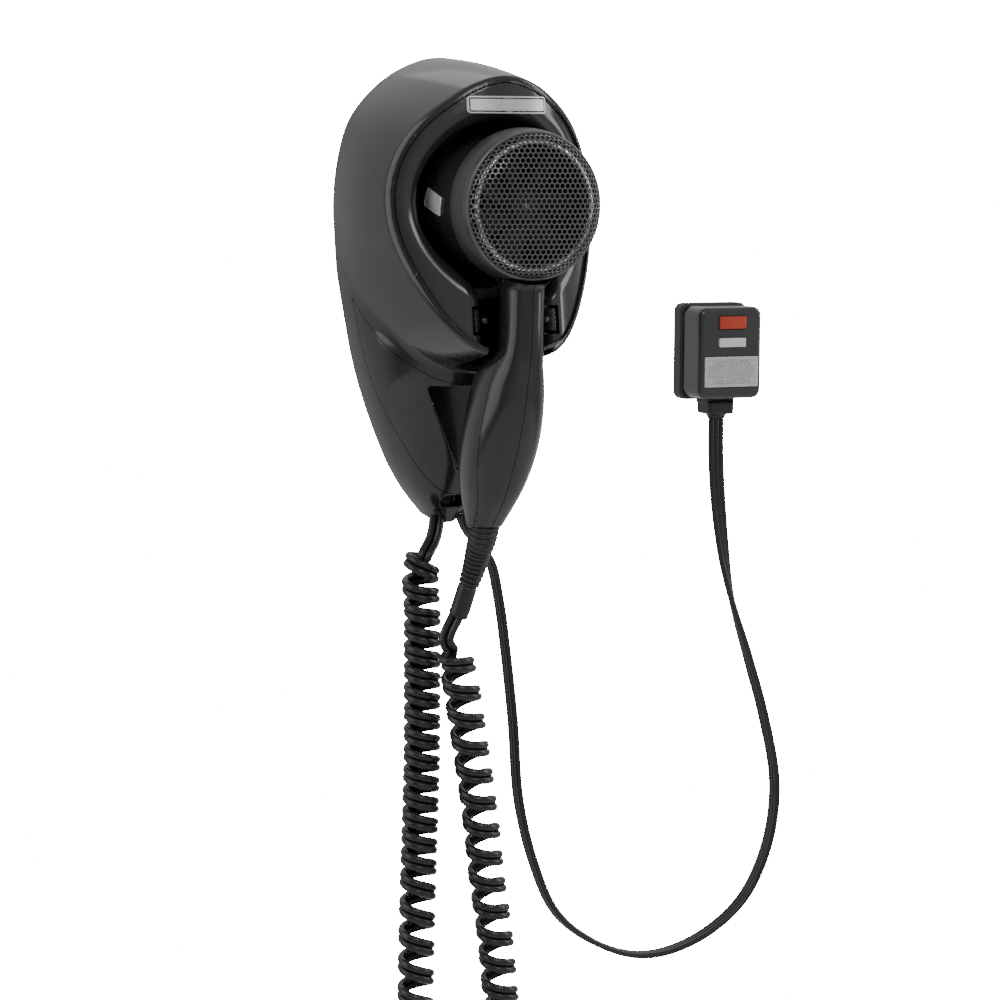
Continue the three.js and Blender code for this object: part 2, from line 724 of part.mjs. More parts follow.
function switchBoard() {
  return block(-6, 6, -126, -78, 60, 61.6).add(block(-4.5, 4.5, -100, -84, 61, 66));
}

const LABEL_SLANT = 15;

// A thin plate wrapped on the left of the barrel, its front end a little lower than its back.
function labelPlate() {
  const [back, front] = [50, 72];
  const inside = disc(BARREL_R + GAP, back - 5, front + 5, 0, 0, 56);
  const ring = disc(BARREL_R + 0.9, back, front, 0, 0, 56).subtract(inside);
  const patch = block(-40, -20, -4.3, 4.3, -8.3, 8.3).rotate([LABEL_SLANT, 0, 0]);
  return ring.intersect(patch.translate([0, 1, 61.2]));
}

function handleScrew(y, z) {
  const geometry = new THREE.CylinderGeometry(1.4, 1.4, 9, 12).rotateZ(Math.PI / 2).translate(0, y, z);
  return solid(geometry);
}

// Strain relief under the handle (world millimetres): a ribbed sleeve, then a plain cuff.
function strainRelief() {
  const route = [
    [0, -49.2, -105.8], [0, -48.4, -109.5], [0, -44.8, -115], [-0.4, -40.8, -124],
    [-2.4, -37.4, -134], [-5.2, -35.2, -145],
  ];
  const stations = [[0, 6.6], [0.03, 7.2]];
  const ribs = 6;
  for (let i = 0; i < ribs; i += 1) {
    const from = 0.08 + 0.65 * i / ribs;
    const radius = 7 - 1.9 * i / ribs;
    stations.push([from, radius - 0.6], [from + 0.02, radius - 0.6]);
    stations.push([from + 0.03, radius], [from + 0.07, radius]);
  }
  stations.push([0.75, 4.6], [0.99, 4.4], [1, 4.1]);
  return taperedTube(route, stations, 10);
}

// ---- plug ---------------------------------------------------------------------

function plugBackShell() {
  const body = plate(PLUG_X, PLUG_Y, 36, 45.8, 4, PLUG_BACK, PLUG_STEP);
  const hollow = plate(PLUG_X, PLUG_Y, 31.6, 41.4, 2.5, PLUG_BACK + 2.4, PLUG_STEP + 1);
  const slots = [-1, 1].map((side) => {
    const x = PLUG_X + side * BLADE_PITCH / 2;
    return block(x - 1.1, x + 1.1, BLADE_Y - 3.6, BLADE_Y + 3.6, 0, 12);
  });
  return body.subtract(hollow).subtract(joined(slots)).subtract(plugThroat());
}

function plugThroat() {
  return block(PLUG_X - 7.6, PLUG_X + 7.6, -96, -88, 9.4, 22);
}

function plugFrontCover() {
  const from = PLUG_STEP + GAP;
  const body = plate(PLUG_X, PLUG_Y, 33.6, 43.4, 4.4, from, PLUG_FRONT);
  const hollow = plate(PLUG_X, PLUG_Y, 29.2, 39, 3, from - 1, PLUG_FRONT - 2.4);
  return body
    .subtract(hollow)
    .subtract(plate(PLUG_X + 0.5, -57, 15, 6.6, 0.5, 20, 40))
    .subtract(plate(PLUG_X + 0.5, -66.4, 14.8, 5, 0.5, 20, 40))
    .subtract(plate(PLUG_X + 0.4, -80.2, 29.4, 15, 0.8, PLUG_FRONT - 1, 40))
    .subtract(plate(PLUG_X + 0.4, -80.2, 22, 10, 0.8, 20, 40))
    .subtract(plugThroat());
}

function plugButton(y, height) {
  return plate(PLUG_X + 0.5, y, 14.4, height, 0.5, PLUG_FRONT - 5, PLUG_FRONT + 0.9);
}

function plugLens() {
  const from = PLUG_FRONT - 1 + GAP;
  return plate(PLUG_X + 0.4, -80.2, 28.8, 14.4, 0.6, from, PLUG_FRONT + 0.7);
}

function plugBoard() {
  return block(PLUG_X - 13, PLUG_X + 13, -88, -53, 17, 18.6);
}

function plugLamp() {
  return disc(2.2, 19, 26.4, PLUG_X + 0.4, -80.2, 12);
}

// Flat blades 12.7 mm apart, 6.35 mm wide and 1.5 mm thick.
function plugBlade(side) {
  const x = PLUG_X + side * BLADE_PITCH / 2;
  return block(x - 0.75, x + 0.75, BLADE_Y - BLADE_WIDTH / 2, BLADE_Y + BLADE_WIDTH / 2, -11.6, 12);
}

function plugGland() {
  const base = plate(PLUG_X, -97.8, 13.8, 6.6, 1.2, 9.6, 22.8);
  const key = block(PLUG_X - 7.2, PLUG_X + 7.2, -95.2, -89, 9.8, 21.6);
  const neck = ringSolid([[-100.5, 5.2, 3.9], [-102.8, 4.6, 3.4]].map(([y, half, deep]) => {
    const ring = [];
    for (let j = 0; j < 16; j += 1) {
      const a = 2 * Math.PI * j / 16;
      ring.push(new THREE.Vector3(PLUG_X + half * Math.cos(a), y, 17 + deep * Math.sin(a)));
    }
    return ring;
  }));
  return joined([base, key, neck]);
}

// ---- assembly -----------------------------------------------------------------

const FINISHES = {
  gloss: { color: 0x1b1c1e, roughness: 0.16, metalness: 0 },
  satin: { color: 0x242527, roughness: 0.42, metalness: 0 },
  rubber: { color: 0x161718, roughness: 0.6, metalness: 0 },
  inner: { color: 0x2b2c2e, roughness: 0.6, metalness: 0 },
  silver: { color: 0xb4b8bb, roughness: 0.3, metalness: 1 },
  steel: { color: 0x9a9c9e, roughness: 0.35, metalness: 1 },
  brass: { color: 0xb99248, roughness: 0.3, metalness: 1 },
  mica: { color: 0xb9ab92, roughness: 0.7, metalness: 0 },
  nichrome: { color: 0x8b8680, roughness: 0.45, metalness: 1 },
  board: { color: 0x2e5d3a, roughness: 0.6, metalness: 0 },
  red: { color: 0xb8321f, roughness: 0.35, metalness: 0 },
  white: { color: 0xe8e8e6, roughness: 0.35, metalness: 0 },
  clear: { color: 0xe9edef, roughness: 0.12, metalness: 0 },
};

function piece(name, finish, manifold) {
  const material = new THREE.MeshStandardMaterial(FINISHES[finish]);
  const mesh = new THREE.Mesh(geometryOf(manifold), material);
  mesh.name = name;
  return mesh;
}

function drawnGroup() {
  const group = new THREE.Group();
  group.rotation.x = Math.PI / 2;
  group.position.z = BARREL_HEIGHT;
  return group;
}

const holder = drawnGroup();
holder.add(
  piece('wall_plate', 'satin', wallPlate()),
  piece('holder_housing', 'gloss', holderHousing()),
  piece('tail_cover', 'gloss', tailCover()),
  piece('front_bezel', 'gloss', frontBezel()),
  piece('badge_plate', 'silver', badgePlate()),
  piece('cradle_cup', 'satin', cradleCup()),
  piece('handle_trough', 'gloss', handleTrough()),
  piece('retaining_clip_left', 'gloss', retainingClip(-1)),
  piece('retaining_clip_right', 'gloss', retainingClip(1)),
  piece('terminal_block', 'white', terminalBlock()),
  piece('cord_clamp', 'satin', cordClamp()),
  piece('lock_screw', 'steel', lockScrew()),
  piece('coil_grommet', 'rubber', cordGrommet(-7.9, -1.1, 13.6)),
  piece('lead_grommet', 'rubber', cordGrommet(4.3, 11.7, 12.8)),
);

const dryer = drawnGroup();
dryer.add(
  piece('body_left_shell', 'gloss', bodyHalf(-1)),
  piece('body_right_shell', 'gloss', bodyHalf(1)),
  piece('handle_rear_cover', 'gloss', handleRearCover()),
  piece('rear_collar', 'satin', rearCollar()),
  piece('intake_grille', 'satin', intakeGrille()),
  piece('grille_liner', 'silver', grilleLiner()),
  piece('outlet_grille', 'inner', outletGrille()),
  piece('motor_can', 'steel', motorCan()),
  piece('motor_mount', 'inner', motorMount()),
  piece('fan_shaft', 'steel', fanShaft()),
  piece('fan_impeller', 'inner', fanImpeller()),
  piece('heater_frame', 'mica', heaterFrame()),
  piece('heater_coil', 'nichrome', heaterCoil()),
  piece('switch_board', 'board', switchBoard()),
  piece('speed_slider', 'satin', slider(0)),
  piece('heat_slider', 'satin', slider(19)),
  piece('cool_shot_button', 'white', coolButton()),
  piece('label_plate', 'silver', labelPlate()),
  piece('handle_screw_upper', 'steel', handleScrew(-62, 88)),
  piece('handle_screw_lower', 'steel', handleScrew(-132, 62)),
);

const plug = drawnGroup();
plug.add(
  piece('plug_back_shell', 'satin', plugBackShell()),
  piece('plug_front_cover', 'satin', plugFrontCover()),
  piece('plug_test_button', 'red', plugButton(-57, 6)),
  piece('plug_reset_button', 'white', plugButton(-66.4, 4.4)),
  piece('plug_lens', 'clear', plugLens()),
  piece('plug_board', 'board', plugBoard()),
  piece('plug_lamp', 'clear', plugLamp()),
  piece('plug_blade_line', 'brass', plugBlade(1)),
  piece('plug_blade_neutral', 'brass', plugBlade(-1)),
  piece('plug_gland', 'rubber', plugGland()),
);

const cords = new THREE.Group();
cords.add(
  piece('strain_relief', 'rubber', strainRelief()),
  piece('coil_stub_holder', 'rubber', cordSolid(HOLDER_STUB, STUB_R, 8, 6)),
  piece('coil_cord', 'rubber', cordSolid(COIL_ROUTE, COIL_R, 8, 44)),
  piece('coil_stub_dryer', 'rubber', cordSolid(DRYER_STUB, STUB_R, 8, 6)),
  piece('power_lead', 'rubber', cordSolid(LEAD_ROUTE, LEAD_R, 8, 48)),
);

const dryerSet = new THREE.Group();
dryerSet.add(holder, dryer, plug, cords);

export default dryerSet;
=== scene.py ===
import json
import math

import bpy
import numpy as np
from mathutils import Matrix, Vector


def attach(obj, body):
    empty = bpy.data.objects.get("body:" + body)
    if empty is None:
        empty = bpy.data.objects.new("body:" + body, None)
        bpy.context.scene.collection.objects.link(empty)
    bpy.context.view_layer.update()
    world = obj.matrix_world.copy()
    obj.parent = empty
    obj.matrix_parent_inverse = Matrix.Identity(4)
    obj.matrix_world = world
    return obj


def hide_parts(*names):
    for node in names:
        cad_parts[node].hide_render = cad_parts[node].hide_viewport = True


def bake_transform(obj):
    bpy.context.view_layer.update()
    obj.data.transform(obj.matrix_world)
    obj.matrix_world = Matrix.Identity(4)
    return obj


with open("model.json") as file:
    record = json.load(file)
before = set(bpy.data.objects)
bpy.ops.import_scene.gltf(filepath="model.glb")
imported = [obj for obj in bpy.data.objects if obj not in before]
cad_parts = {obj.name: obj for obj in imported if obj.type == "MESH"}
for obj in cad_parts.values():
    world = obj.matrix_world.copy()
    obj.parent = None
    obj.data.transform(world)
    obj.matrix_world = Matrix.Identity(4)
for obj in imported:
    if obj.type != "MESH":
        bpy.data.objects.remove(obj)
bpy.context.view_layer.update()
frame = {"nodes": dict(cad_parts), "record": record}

# Wall-mounted hair dryer set: a glossy teardrop holder, the dryer that hangs in it,
# the curly cord between them, and a power lead with its plug.
# Pieces of the holder, dryer and plug are drawn from the front in millimetres: x to the
# right, y up from the barrel axis, z out from the wall. placed() turns a drawing upright.

SLOTS = {row["node"]: row["material_slot"] for row in frame["record"]["subparts"]}
MM = 0.001
BARREL_HEIGHT = 42.0
GAP = 0.3


def placed(points):
    """Drawing points in millimetres as scene points in metres."""
    p = np.asarray(points, float)
    return np.stack([p[..., 0], -p[..., 2], p[..., 1] + BARREL_HEIGHT], -1) * MM


def in_scene(name, data):
    """An object in the scene that shows this mesh, light or camera."""
    item = bpy.data.objects.new(name, data)
    bpy.context.scene.collection.objects.link(item)
    return item


# ---- camera ----

CAMERA_PLACE = (-0.702575, -1.506983, 0.081216)
CAMERA_AZIMUTH = math.radians(-26.0)
CAMERA_DROP = math.radians(6.1)
CAMERA_ROLL = math.radians(0.5)
LENS = 129.6


def make_camera():
    sa, ca = math.sin(CAMERA_AZIMUTH), math.cos(CAMERA_AZIMUTH)
    sd, cd = math.sin(CAMERA_DROP), math.cos(CAMERA_DROP)
    forward = Vector((-sa * cd, ca * cd, -sd))
    right = Vector((ca, sa, 0.0))
    up = right.cross(forward)
    cr, sr = math.cos(CAMERA_ROLL), math.sin(CAMERA_ROLL)
    side = cr * right + sr * up
    top = cr * up - sr * right
    data = bpy.data.cameras.new("camera")
    data.lens = LENS
    data.sensor_width = 36.0
    data.clip_end = 20.0
    camera = in_scene("camera", data)
    turn = Matrix((side, top, -forward)).transposed().to_4x4()
    camera.matrix_world = Matrix.Translation(CAMERA_PLACE) @ turn
    bpy.context.scene.camera = camera


# ---- meshes ----

SHARP = math.radians(32.0)


def new_mesh(name, vertices, faces, material, sharp=SHARP):
    """A smooth-shaded mesh object of scene points in metres."""
    mesh = bpy.data.meshes.new(name)
    mesh.from_pydata([tuple(map(float, v)) for v in vertices], [], [tuple(map(int, f)) for f in faces])
    mesh.validate()
    mesh.shade_smooth()
    if sharp:
        mesh.set_sharp_from_angle(angle=sharp)
    mesh.materials.append(material)
    return in_scene(name, mesh)


def settle(piece, body, node):
    """Rides the piece on its body, and hides the CAD node that it stands for."""
    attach(piece, body)
    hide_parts(node)


def drawn(node, body, name, mesh, material):
    """A piece made of drawn points and faces."""
    vertices, faces = mesh
    settle(new_mesh(name, placed(vertices), faces, material), body, node)


def ring_faces(rings, around):
    """Quads of a tube of rings, with a fan of triangles over each end."""
    faces = []
    for i in range(rings - 1):
        for j in range(around):
            a, b = i * around + j, i * around + (j + 1) % around
            faces.append((a, b, b + around, a + around))
    first, last, top = rings * around, rings * around + 1, (rings - 1) * around
    for j in range(around):
        k = (j + 1) % around
        faces.append((first, k, j))
        faces.append((last, top + j, top + k))
    return faces


def turned(profile, around):
    """Vertices and faces of a closed [radius, z] profile turned about the barrel axis."""
    profile = np.asarray(profile, float)
    angles = 2 * np.pi * np.arange(around) / around
    count = len(profile)
    vertices = np.empty((around, count, 3))
    vertices[..., 0] = np.cos(angles)[:, None] * profile[:, 0]
    vertices[..., 1] = np.sin(angles)[:, None] * profile[:, 0]
    vertices[..., 2] = profile[:, 1]
    faces = []
    for i in range(around):
        k = (i + 1) % around
        for j in range(count):
            n = (j + 1) % count
            faces.append((i * count + j, k * count + j, k * count + n, i * count + n))
    return vertices.reshape(-1, 3), faces


def softened(points, radius, steps=4):
    """The closed outline with every corner rounded."""
    points = [np.asarray(p, float) for p in points]
    out = []
    count = len(points)
    for i, p in enumerate(points):
        before, after = points[i - 1] - p, points[(i + 1) % count] - p
        reach = min(radius, 0.45 * np.linalg.norm(before), 0.45 * np.linalg.norm(after))
        a = p + before / np.linalg.norm(before) * reach
        b = p + after / np.linalg.norm(after) * reach
        for t in np.linspace(0, 1, steps + 1):
            out.append((1 - t) ** 2 * a + 2 * t * (1 - t) * p + t * t * b)
    return out


# ---- smooth curves ----

def hermite(xs, ys, x):
    """A smooth curve through (xs, ys), with xs increasing, read at x."""
    slopes = np.gradient(ys, xs)
    i = np.clip(np.searchsorted(xs, x) - 1, 0, len(xs) - 2)
    h = xs[i + 1] - xs[i]
    t = np.clip((x - xs[i]) / h, 0.0, 1.0)
    a = (1 + 2 * t) * (1 - t) ** 2 * ys[i] + t * (1 - t) ** 2 * h * slopes[i]
    return a + t * t * (3 - 2 * t) * ys[i + 1] + t * t * (t - 1) * h * slopes[i + 1]


def blurred(values, width, wrap=False):
    """A Gaussian average over neighbouring values."""
    reach = int(3 * width)
    weights = np.exp(-0.5 * (np.arange(-reach, reach + 1) / width) ** 2)
    ends = {"mode": "wrap"} if wrap else {"mode": "reflect", "reflect_type": "odd"}
    padded = np.pad(values, reach, **ends)
    return np.convolve(padded, weights / weights.sum(), mode="valid")


class Curve:
    """A value along y, smooth enough for a clean reflection."""

    def __init__(self, points, blur=2.0):
        points = sorted(points)
        xs = np.array([p[0] for p in points], float)
        ys = np.array([p[1] for p in points], float)
        self.x = np.arange(xs[0], xs[-1] + 0.25, 0.25)
        self.y = blurred(hermite(xs, ys, self.x), blur * 4)

    def __call__(self, x):
        return np.interp(x, self.x, self.y)


class Outline:
    """Distance from the barrel axis to a mirrored half outline, at each angle."""

    def __init__(self, half, blur=3.0):
        points = [(x, y) for x, y in half] + [(-x, y) for x, y in half[1:-1][::-1]]
        angle = np.unwrap(np.arctan2([p[1] for p in points], [p[0] for p in points]))[::-1]
        reach = np.hypot([p[0] for p in points], [p[1] for p in points])[::-1]
        turns = 2 * np.pi
        angle = np.concatenate([angle - turns, angle, angle + turns])
        self.angle = np.linspace(-np.pi, np.pi, 1441)
        self.reach = blurred(hermite(angle, np.tile(reach, 3), self.angle)[:-1], blur * 4, wrap=True)
        self.reach = np.append(self.reach, self.reach[0])

    def __call__(self, angle):
        return np.interp(angle, self.angle, self.reach)


def distances(points):
    """How far along the line each of its points lies."""
    gaps = np.linalg.norm(np.diff(points, axis=0), axis=1)
    return np.concatenate([[0], np.cumsum(gaps)])


def read_at(places, along, points):
    """The points of a line, read at the given places along it."""
    return np.stack([np.interp(places, along, column) for column in points.T], -1)


def route(points, step):
    """Points evenly spaced along one smooth curve through the given points."""
    p = np.asarray(points, float)
    chord = distances(p)
    fine = np.linspace(0, chord[-1], int(chord[-1] / step * 12))
    dense = np.stack([hermite(chord, p[:, i], fine) for i in range(3)], -1)
    along = distances(dense)
    even = np.linspace(0, along[-1], int(round(along[-1] / step)) + 1)
    return read_at(even, along, dense), even


def unit(vectors):
    return vectors / np.linalg.norm(vectors, axis=1)[:, None]


def tangents(points):
    return unit(np.gradient(points, axis=0))


def squared(vectors, run):
    """The vectors at unit length and square to the run."""
    return unit(vectors - run * np.sum(vectors * run, axis=1)[:, None])


def carried(tangent, start):
    """A side vector carried along a curve without turning about it."""
    sides = np.empty_like(tangent)
    side = np.asarray(start, float)
    for i, t in enumerate(tangent):
        side = side - t * np.dot(side, t)
        side = side / np.linalg.norm(side)
        sides[i] = side
    return sides


def swept(name, centres, wide, thick, section, material):
    """A tube: each ring is the section [wide, thick] laid on its centre."""
    section = np.asarray(section, float)
    rings = centres[:, None] + section[:, :1] * wide[:, None] + section[:, 1:] * thick[:, None]
    around = len(section)
    vertices = np.concatenate([rings.reshape(-1, 3), centres[:1], centres[-1:]])
    return new_mesh(name, vertices, ring_faces(len(centres), around), material)


# ---- materials ----

def add_node(tree, kind, **values):
    """A node with these values in its inputs or, where it has no such input, its settings."""
    node = tree.nodes.new(kind)
    for key, value in values.items():
        if key in node.inputs:
            node.inputs[key].default_value = value
        else:
            setattr(node, key, value)
    return node


class Nodes:
    """A material being wired."""

    def __init__(self, name):
        self.material = bpy.data.materials.new(name)
        self.material.use_nodes = True
        self.tree = self.material.node_tree
        self.shader = self.tree.nodes["Principled BSDF"]
        self.place = self.tree.nodes.new("ShaderNodeTexCoord").outputs["Object"]

    def add(self, kind, **values):
        return add_node(self.tree, kind, **values)

    def link(self, a, b):
        self.tree.links.new(a, b)

    def feed(self, name, source):
        """Drives one of the shader's inputs by a node, or holds it at a value."""
        if isinstance(source, bpy.types.NodeSocket):
            self.link(source, self.shader.inputs[name])
        else:
            self.shader.inputs[name].default_value = source

    def noise(self, scale, detail=3.0, roughness=0.5, stretch=None):
        node = self.add("ShaderNodeTexNoise", Scale=scale, Detail=detail, Roughness=roughness)
        source = self.place
        if stretch:
            mapping = self.add("ShaderNodeMapping", Scale=stretch)
            self.link(self.place, mapping.inputs["Vector"])
            source = mapping.outputs["Vector"]
        self.link(source, node.inputs["Vector"])
        return node.outputs["Fac"]

    def ramp(self, value, low, high, low_out, high_out):
        limits = {"From Min": low, "From Max": high, "To Min": low_out, "To Max": high_out}
        node = self.add("ShaderNodeMapRange", **limits)
        self.link(value, node.inputs["Value"])
        return node.outputs["Result"]

    def mixed(self, value, first, second):
        node = self.add("ShaderNodeMix", data_type="RGBA")
        self.link(value, node.inputs["Factor"])
        node.inputs[6].default_value = (*first, 1)
        node.inputs[7].default_value = (*second, 1)
        return node.outputs[2]

    def bump(self, height, strength, distance):
        node = self.add("ShaderNodeBump", Strength=strength, Distance=distance)
        self.link(height, node.inputs["Height"])
        self.feed("Normal", node.outputs["Normal"])


def plastic(name, base, tint, rough, grain, bump, coat=0.0, ior=1.5):
    """Moulded plastic: slight cloudiness in its colour, uneven polish, and a fine grain."""
    n = Nodes(name)
    cloud = n.noise(55.0, 4.0)
    n.feed("Base Color", n.mixed(n.ramp(cloud, 0.35, 0.65, 0, 1), base, tint))
    polish = n.noise(170.0, 5.0, 0.6)
    n.feed("Roughness", n.ramp(polish, 0.3, 0.7, *rough))
    n.bump(n.noise(grain, 2.0), bump, 0.0002)
    n.feed("Coat Weight", coat)
    n.feed("Coat Roughness", 0.05)
    n.feed("IOR", ior)
    return n.material


def metal(name, base, tint, rough, stretch, metallic=1.0):
    """Metal with a drawn or brushed grain."""
    n = Nodes(name)
    brushed = n.noise(420.0, 3.0, 0.6, stretch)
    n.feed("Base Color", n.mixed(n.ramp(brushed, 0.3, 0.7, 0, 1), base, tint))
    n.feed("Roughness", n.ramp(brushed, 0.3, 0.7, *rough))
    n.bump(brushed, 0.08, 0.0001)
    n.feed("Metallic", metallic)
    return n.material


def clear_plastic(name):
    n = Nodes(name)
    haze = n.noise(300.0, 2.0)
    n.feed("Base Color", n.mixed(haze, (0.8, 0.82, 0.84), (0.93, 0.95, 0.97)))
    n.feed("Roughness", n.ramp(haze, 0.3, 0.7, 0.08, 0.2))
    n.feed("Transmission Weight", 0.35)
    n.feed("IOR", 1.49)
    return n.material


GLOSS = plastic("gloss_black", (0.0145, 0.0148, 0.0155), (0.0175, 0.0178, 0.0185),
                (0.15, 0.21), 900.0, 0.02, 0.3)
# The bezel and clips are the same gloss black as the housing, with a lighter base colour: painted light
# that lifts the shade in the bore and round the dryer's neck.
BEZEL_GLOSS_PAINTED_LIGHT = plastic("bezel_gloss_painted_light", (0.024, 0.0242, 0.025), (0.029, 0.0292, 0.03),
                      (0.14, 0.2), 900.0, 0.02, 0.3, 1.58)
SATIN = plastic("satin_black", (0.02, 0.02, 0.021), (0.027, 0.027, 0.028), (0.34, 0.46), 1500.0, 0.12)
MESH_BLACK = plastic("grille_black", (0.085, 0.085, 0.085), (0.11, 0.11, 0.11),
                     (0.2, 0.3), 1500.0, 0.06, 0.4)
INNER = plastic("inner_black", (0.022, 0.022, 0.023), (0.032, 0.032, 0.033), (0.5, 0.65), 1100.0, 0.15)
RUBBER = plastic("black_rubber", (0.0115, 0.0118, 0.0125), (0.016, 0.0162, 0.0168),
                 (0.22, 0.34), 700.0, 0.1)
BOOT = plastic("boot_rubber", (0.013, 0.013, 0.0135), (0.019, 0.019, 0.0195), (0.34, 0.48), 900.0, 0.15)
RED = plastic("red_button", (0.50, 0.045, 0.022), (0.56, 0.06, 0.03), (0.2, 0.28), 800.0, 0.04)
WHITE = plastic("white_button", (0.74, 0.74, 0.73), (0.8, 0.8, 0.79), (0.25, 0.34), 800.0, 0.04)
PALE = plastic("pale_board", (0.5, 0.43, 0.32), (0.62, 0.55, 0.43), (0.5, 0.7), 500.0, 0.2)
BOARD = plastic("circuit_board", (0.02, 0.09, 0.04), (0.03, 0.13, 0.06), (0.3, 0.45), 600.0, 0.08)
SHELL_GLOSS = plastic("dryer_gloss", (0.015, 0.0152, 0.016), (0.019, 0.0192, 0.02),
                      (0.19, 0.26), 900.0, 0.03, 0.15)
COVER_GLOSS = plastic("plug_gloss", (0.03, 0.03, 0.031), (0.036, 0.036, 0.037),
                      (0.16, 0.24), 900.0, 0.03, 0.4)
SILVER = metal("silver_trim", (0.52, 0.54, 0.57), (0.66, 0.68, 0.71), (0.24, 0.36), (1.0, 1.0, 14.0))
FOIL = metal("silver_foil", (0.62, 0.64, 0.66), (0.74, 0.76, 0.78),
             (0.26, 0.38), (1.0, 1.0, 14.0), 0.45)
BRIGHT = metal("bright_liner", (0.72, 0.71, 0.68), (0.86, 0.85, 0.82), (0.16, 0.26), (6.0, 1.0, 6.0))
STEEL = metal("steel", (0.42, 0.42, 0.43), (0.58, 0.58, 0.6), (0.26, 0.4), (1.0, 10.0, 1.0))
BLACK_STEEL = metal("black_steel", (0.03, 0.03, 0.031), (0.05, 0.05, 0.052),
                    (0.3, 0.45), (1.0, 10.0, 1.0))
BRASS = metal("brass", (0.6, 0.44, 0.18), (0.75, 0.57, 0.27), (0.2, 0.32), (1.0, 12.0, 1.0))
CLEAR = clear_plastic("clear_lens")

# ---- cords ----

# The curly cord's middle line, in millimetres, from the holder to the dryer.
HOLDER_STUB = [
    (-4.5, -9.6, -102.2), (-5.7, -10.5, -109.4), (-8.6, -12, -115.6), (-11.8, -13.4, -119.2),
]
COIL_ROUTE = [
    (-13.2, -14, -121.6), (-13.7, -14, -150), (-13.6, -14, -183), (-13.5, -14, -208),
    (-13.9, -14, -232), (-14.5, -14, -255), (-15.2, -14, -280), (-15.7, -14, -305),
    (-15.9, -14, -329), (-15.6, -14.4, -362), (-11.5, -15.2, -390), (2.5, -16.6, -405.5),
    (18, -18.6, -397), (26, -20.6, -375), (26.4, -21.8, -350), (23.6, -22.4, -326),
    (20.2, -23.7, -300), (14.5, -26, -270.5), (11, -28, -249), (7.1, -30, -228),
    (3.4, -31.8, -211), (-0.4, -33.1, -192), (-4, -34, -175), (-8, -34.4, -162.6),
]
DRYER_STUB = [
    (-11.4, -34.6, -157.6), (-10.2, -34.6, -153.4), (-7.9, -34.8, -149.2), (-5.9, -34.9, -145.4),
]
LEAD_ROUTE = [
    (8, -8.4, -102.6), (8.6, -9, -107), (12.6, -11, -113.5), (20.6, -11.5, -122), (27, -10, -142),
    (31.8, -8.4, -168), (36.4, -7.4, -201), (40.6, -6.6, -242), (48.6, -6.4, -271),
    (61, -6.4, -296.5), (80, -6.4, -311.5), (107, -6.4, -321), (145, -6.4, -312),
    (163, -6.4, -298), (175, -6.4, -276), (180, -6.6, -246), (173, -7.4, -210),
    (163, -8.6, -180), (151, -10.4, -146), (142.5, -13.6, -107), (138.6, -16.4, -78),
    (138.1, -17, -61.2),
]
# The cord's half width and half thickness, and the coil's outer radius.
CURLY_WIDE, CURLY_THICK, COIL_OUTER = 3.6, 1.8, 8.9
# The coil tightens a little below its top and hangs looser further down.
PITCH_TOP, PITCH_TIGHT, PITCH_LOOSE = 10.4, 9.7, 13.5
TIGHTENS, TIGHTENING = 22.0, 16.0
LOOSENS, LOOSENING = 138.0, 24.0
COIL_FIRST_ANGLE, COIL_LAST_ANGLE = -1.14, -0.6
COIL_RUN_IN = 2.6
LAST_TWIST, TWIST_RUN = -1.4, 7.0
HELIX_STEP, RING_STEP = 0.36, 1.7


def lobed(half_wide, half_thick, lobes, per_lobe=6, waist=0.66):
    """The section of a flat cord whose cores show as side-by-side lobes."""
    spacing = 2 * (half_wide - half_thick) / (lobes - 1)
    middles = [-(half_wide - half_thick) + spacing * i for i in range(lobes)]
    open_angle = math.acos(min(1.0, 0.5 * spacing / half_thick * 0.94))
    top = []
    for i, middle in enumerate(middles):
        start = math.pi if i == 0 else math.pi - open_angle
        end = 0.0 if i == lobes - 1 else open_angle
        for a in np.linspace(start, end, per_lobe):
            top.append((middle + half_thick * math.cos(a), half_thick * math.sin(a)))
        if i < lobes - 1:
            top.append((middle + spacing / 2, half_thick * waist))
    return top[::-1] + [(u, -v) for u, v in top[1:-1]]


def smooth_step(value):
    t = np.clip(value, 0.0, 1.0)
    return t * t * (3 - 2 * t)


def coil_pitch(down):
    """The height of one turn, this far along the coil."""
    pitch = PITCH_TOP + (PITCH_TIGHT - PITCH_TOP) * smooth_step((down - TIGHTENS) / TIGHTENING)
    return pitch + (PITCH_LOOSE - PITCH_TIGHT) * smooth_step((down - LOOSENS) / LOOSENING)


def curly_line():
    """The wound cord's own line, and its wide and thick directions, straight at both ends."""
    points, along = route(HOLDER_STUB + COIL_ROUTE + DRYER_STUB, 1.0)
    start, stop = (along[np.argmin(np.linalg.norm(points - np.array(end), axis=1))]
                   for end in (COIL_ROUTE[0], COIL_ROUTE[-1]))
    fine = np.arange(0, along[-1], HELIX_STEP)
    middle = np.stack([blurred(column, 5) for column in read_at(fine, along, points).T], -1)
    tangent = tangents(middle)
    side = carried(tangent, (1.0, 0.0, 0.0))
    other = np.cross(tangent, side)
    coiled = smooth_step((fine - start) / COIL_RUN_IN) * smooth_step((stop - fine) / COIL_RUN_IN)
    turning = (coiled > 0) / coil_pitch(fine - start)
    turns = np.round(np.sum(turning * np.diff(fine, prepend=0)))
    swing = 2 * np.pi * turns + COIL_FIRST_ANGLE - COIL_LAST_ANGLE
    angle = COIL_FIRST_ANGLE - np.cumsum(turning) / np.sum(turning) * swing
    radius = (COIL_OUTER - CURLY_THICK - 0.1) * coiled
    outward = np.cos(angle)[:, None] * side + np.sin(angle)[:, None] * other
    centres = middle + radius[:, None] * outward
    run = tangents(centres)
    facing = angle + LAST_TWIST * (1 - smooth_step((stop - fine + 2) / TWIST_RUN))
    thick = squared(np.cos(facing)[:, None] * side + np.sin(facing)[:, None] * other, run)
    return centres, np.cross(run, thick), thick


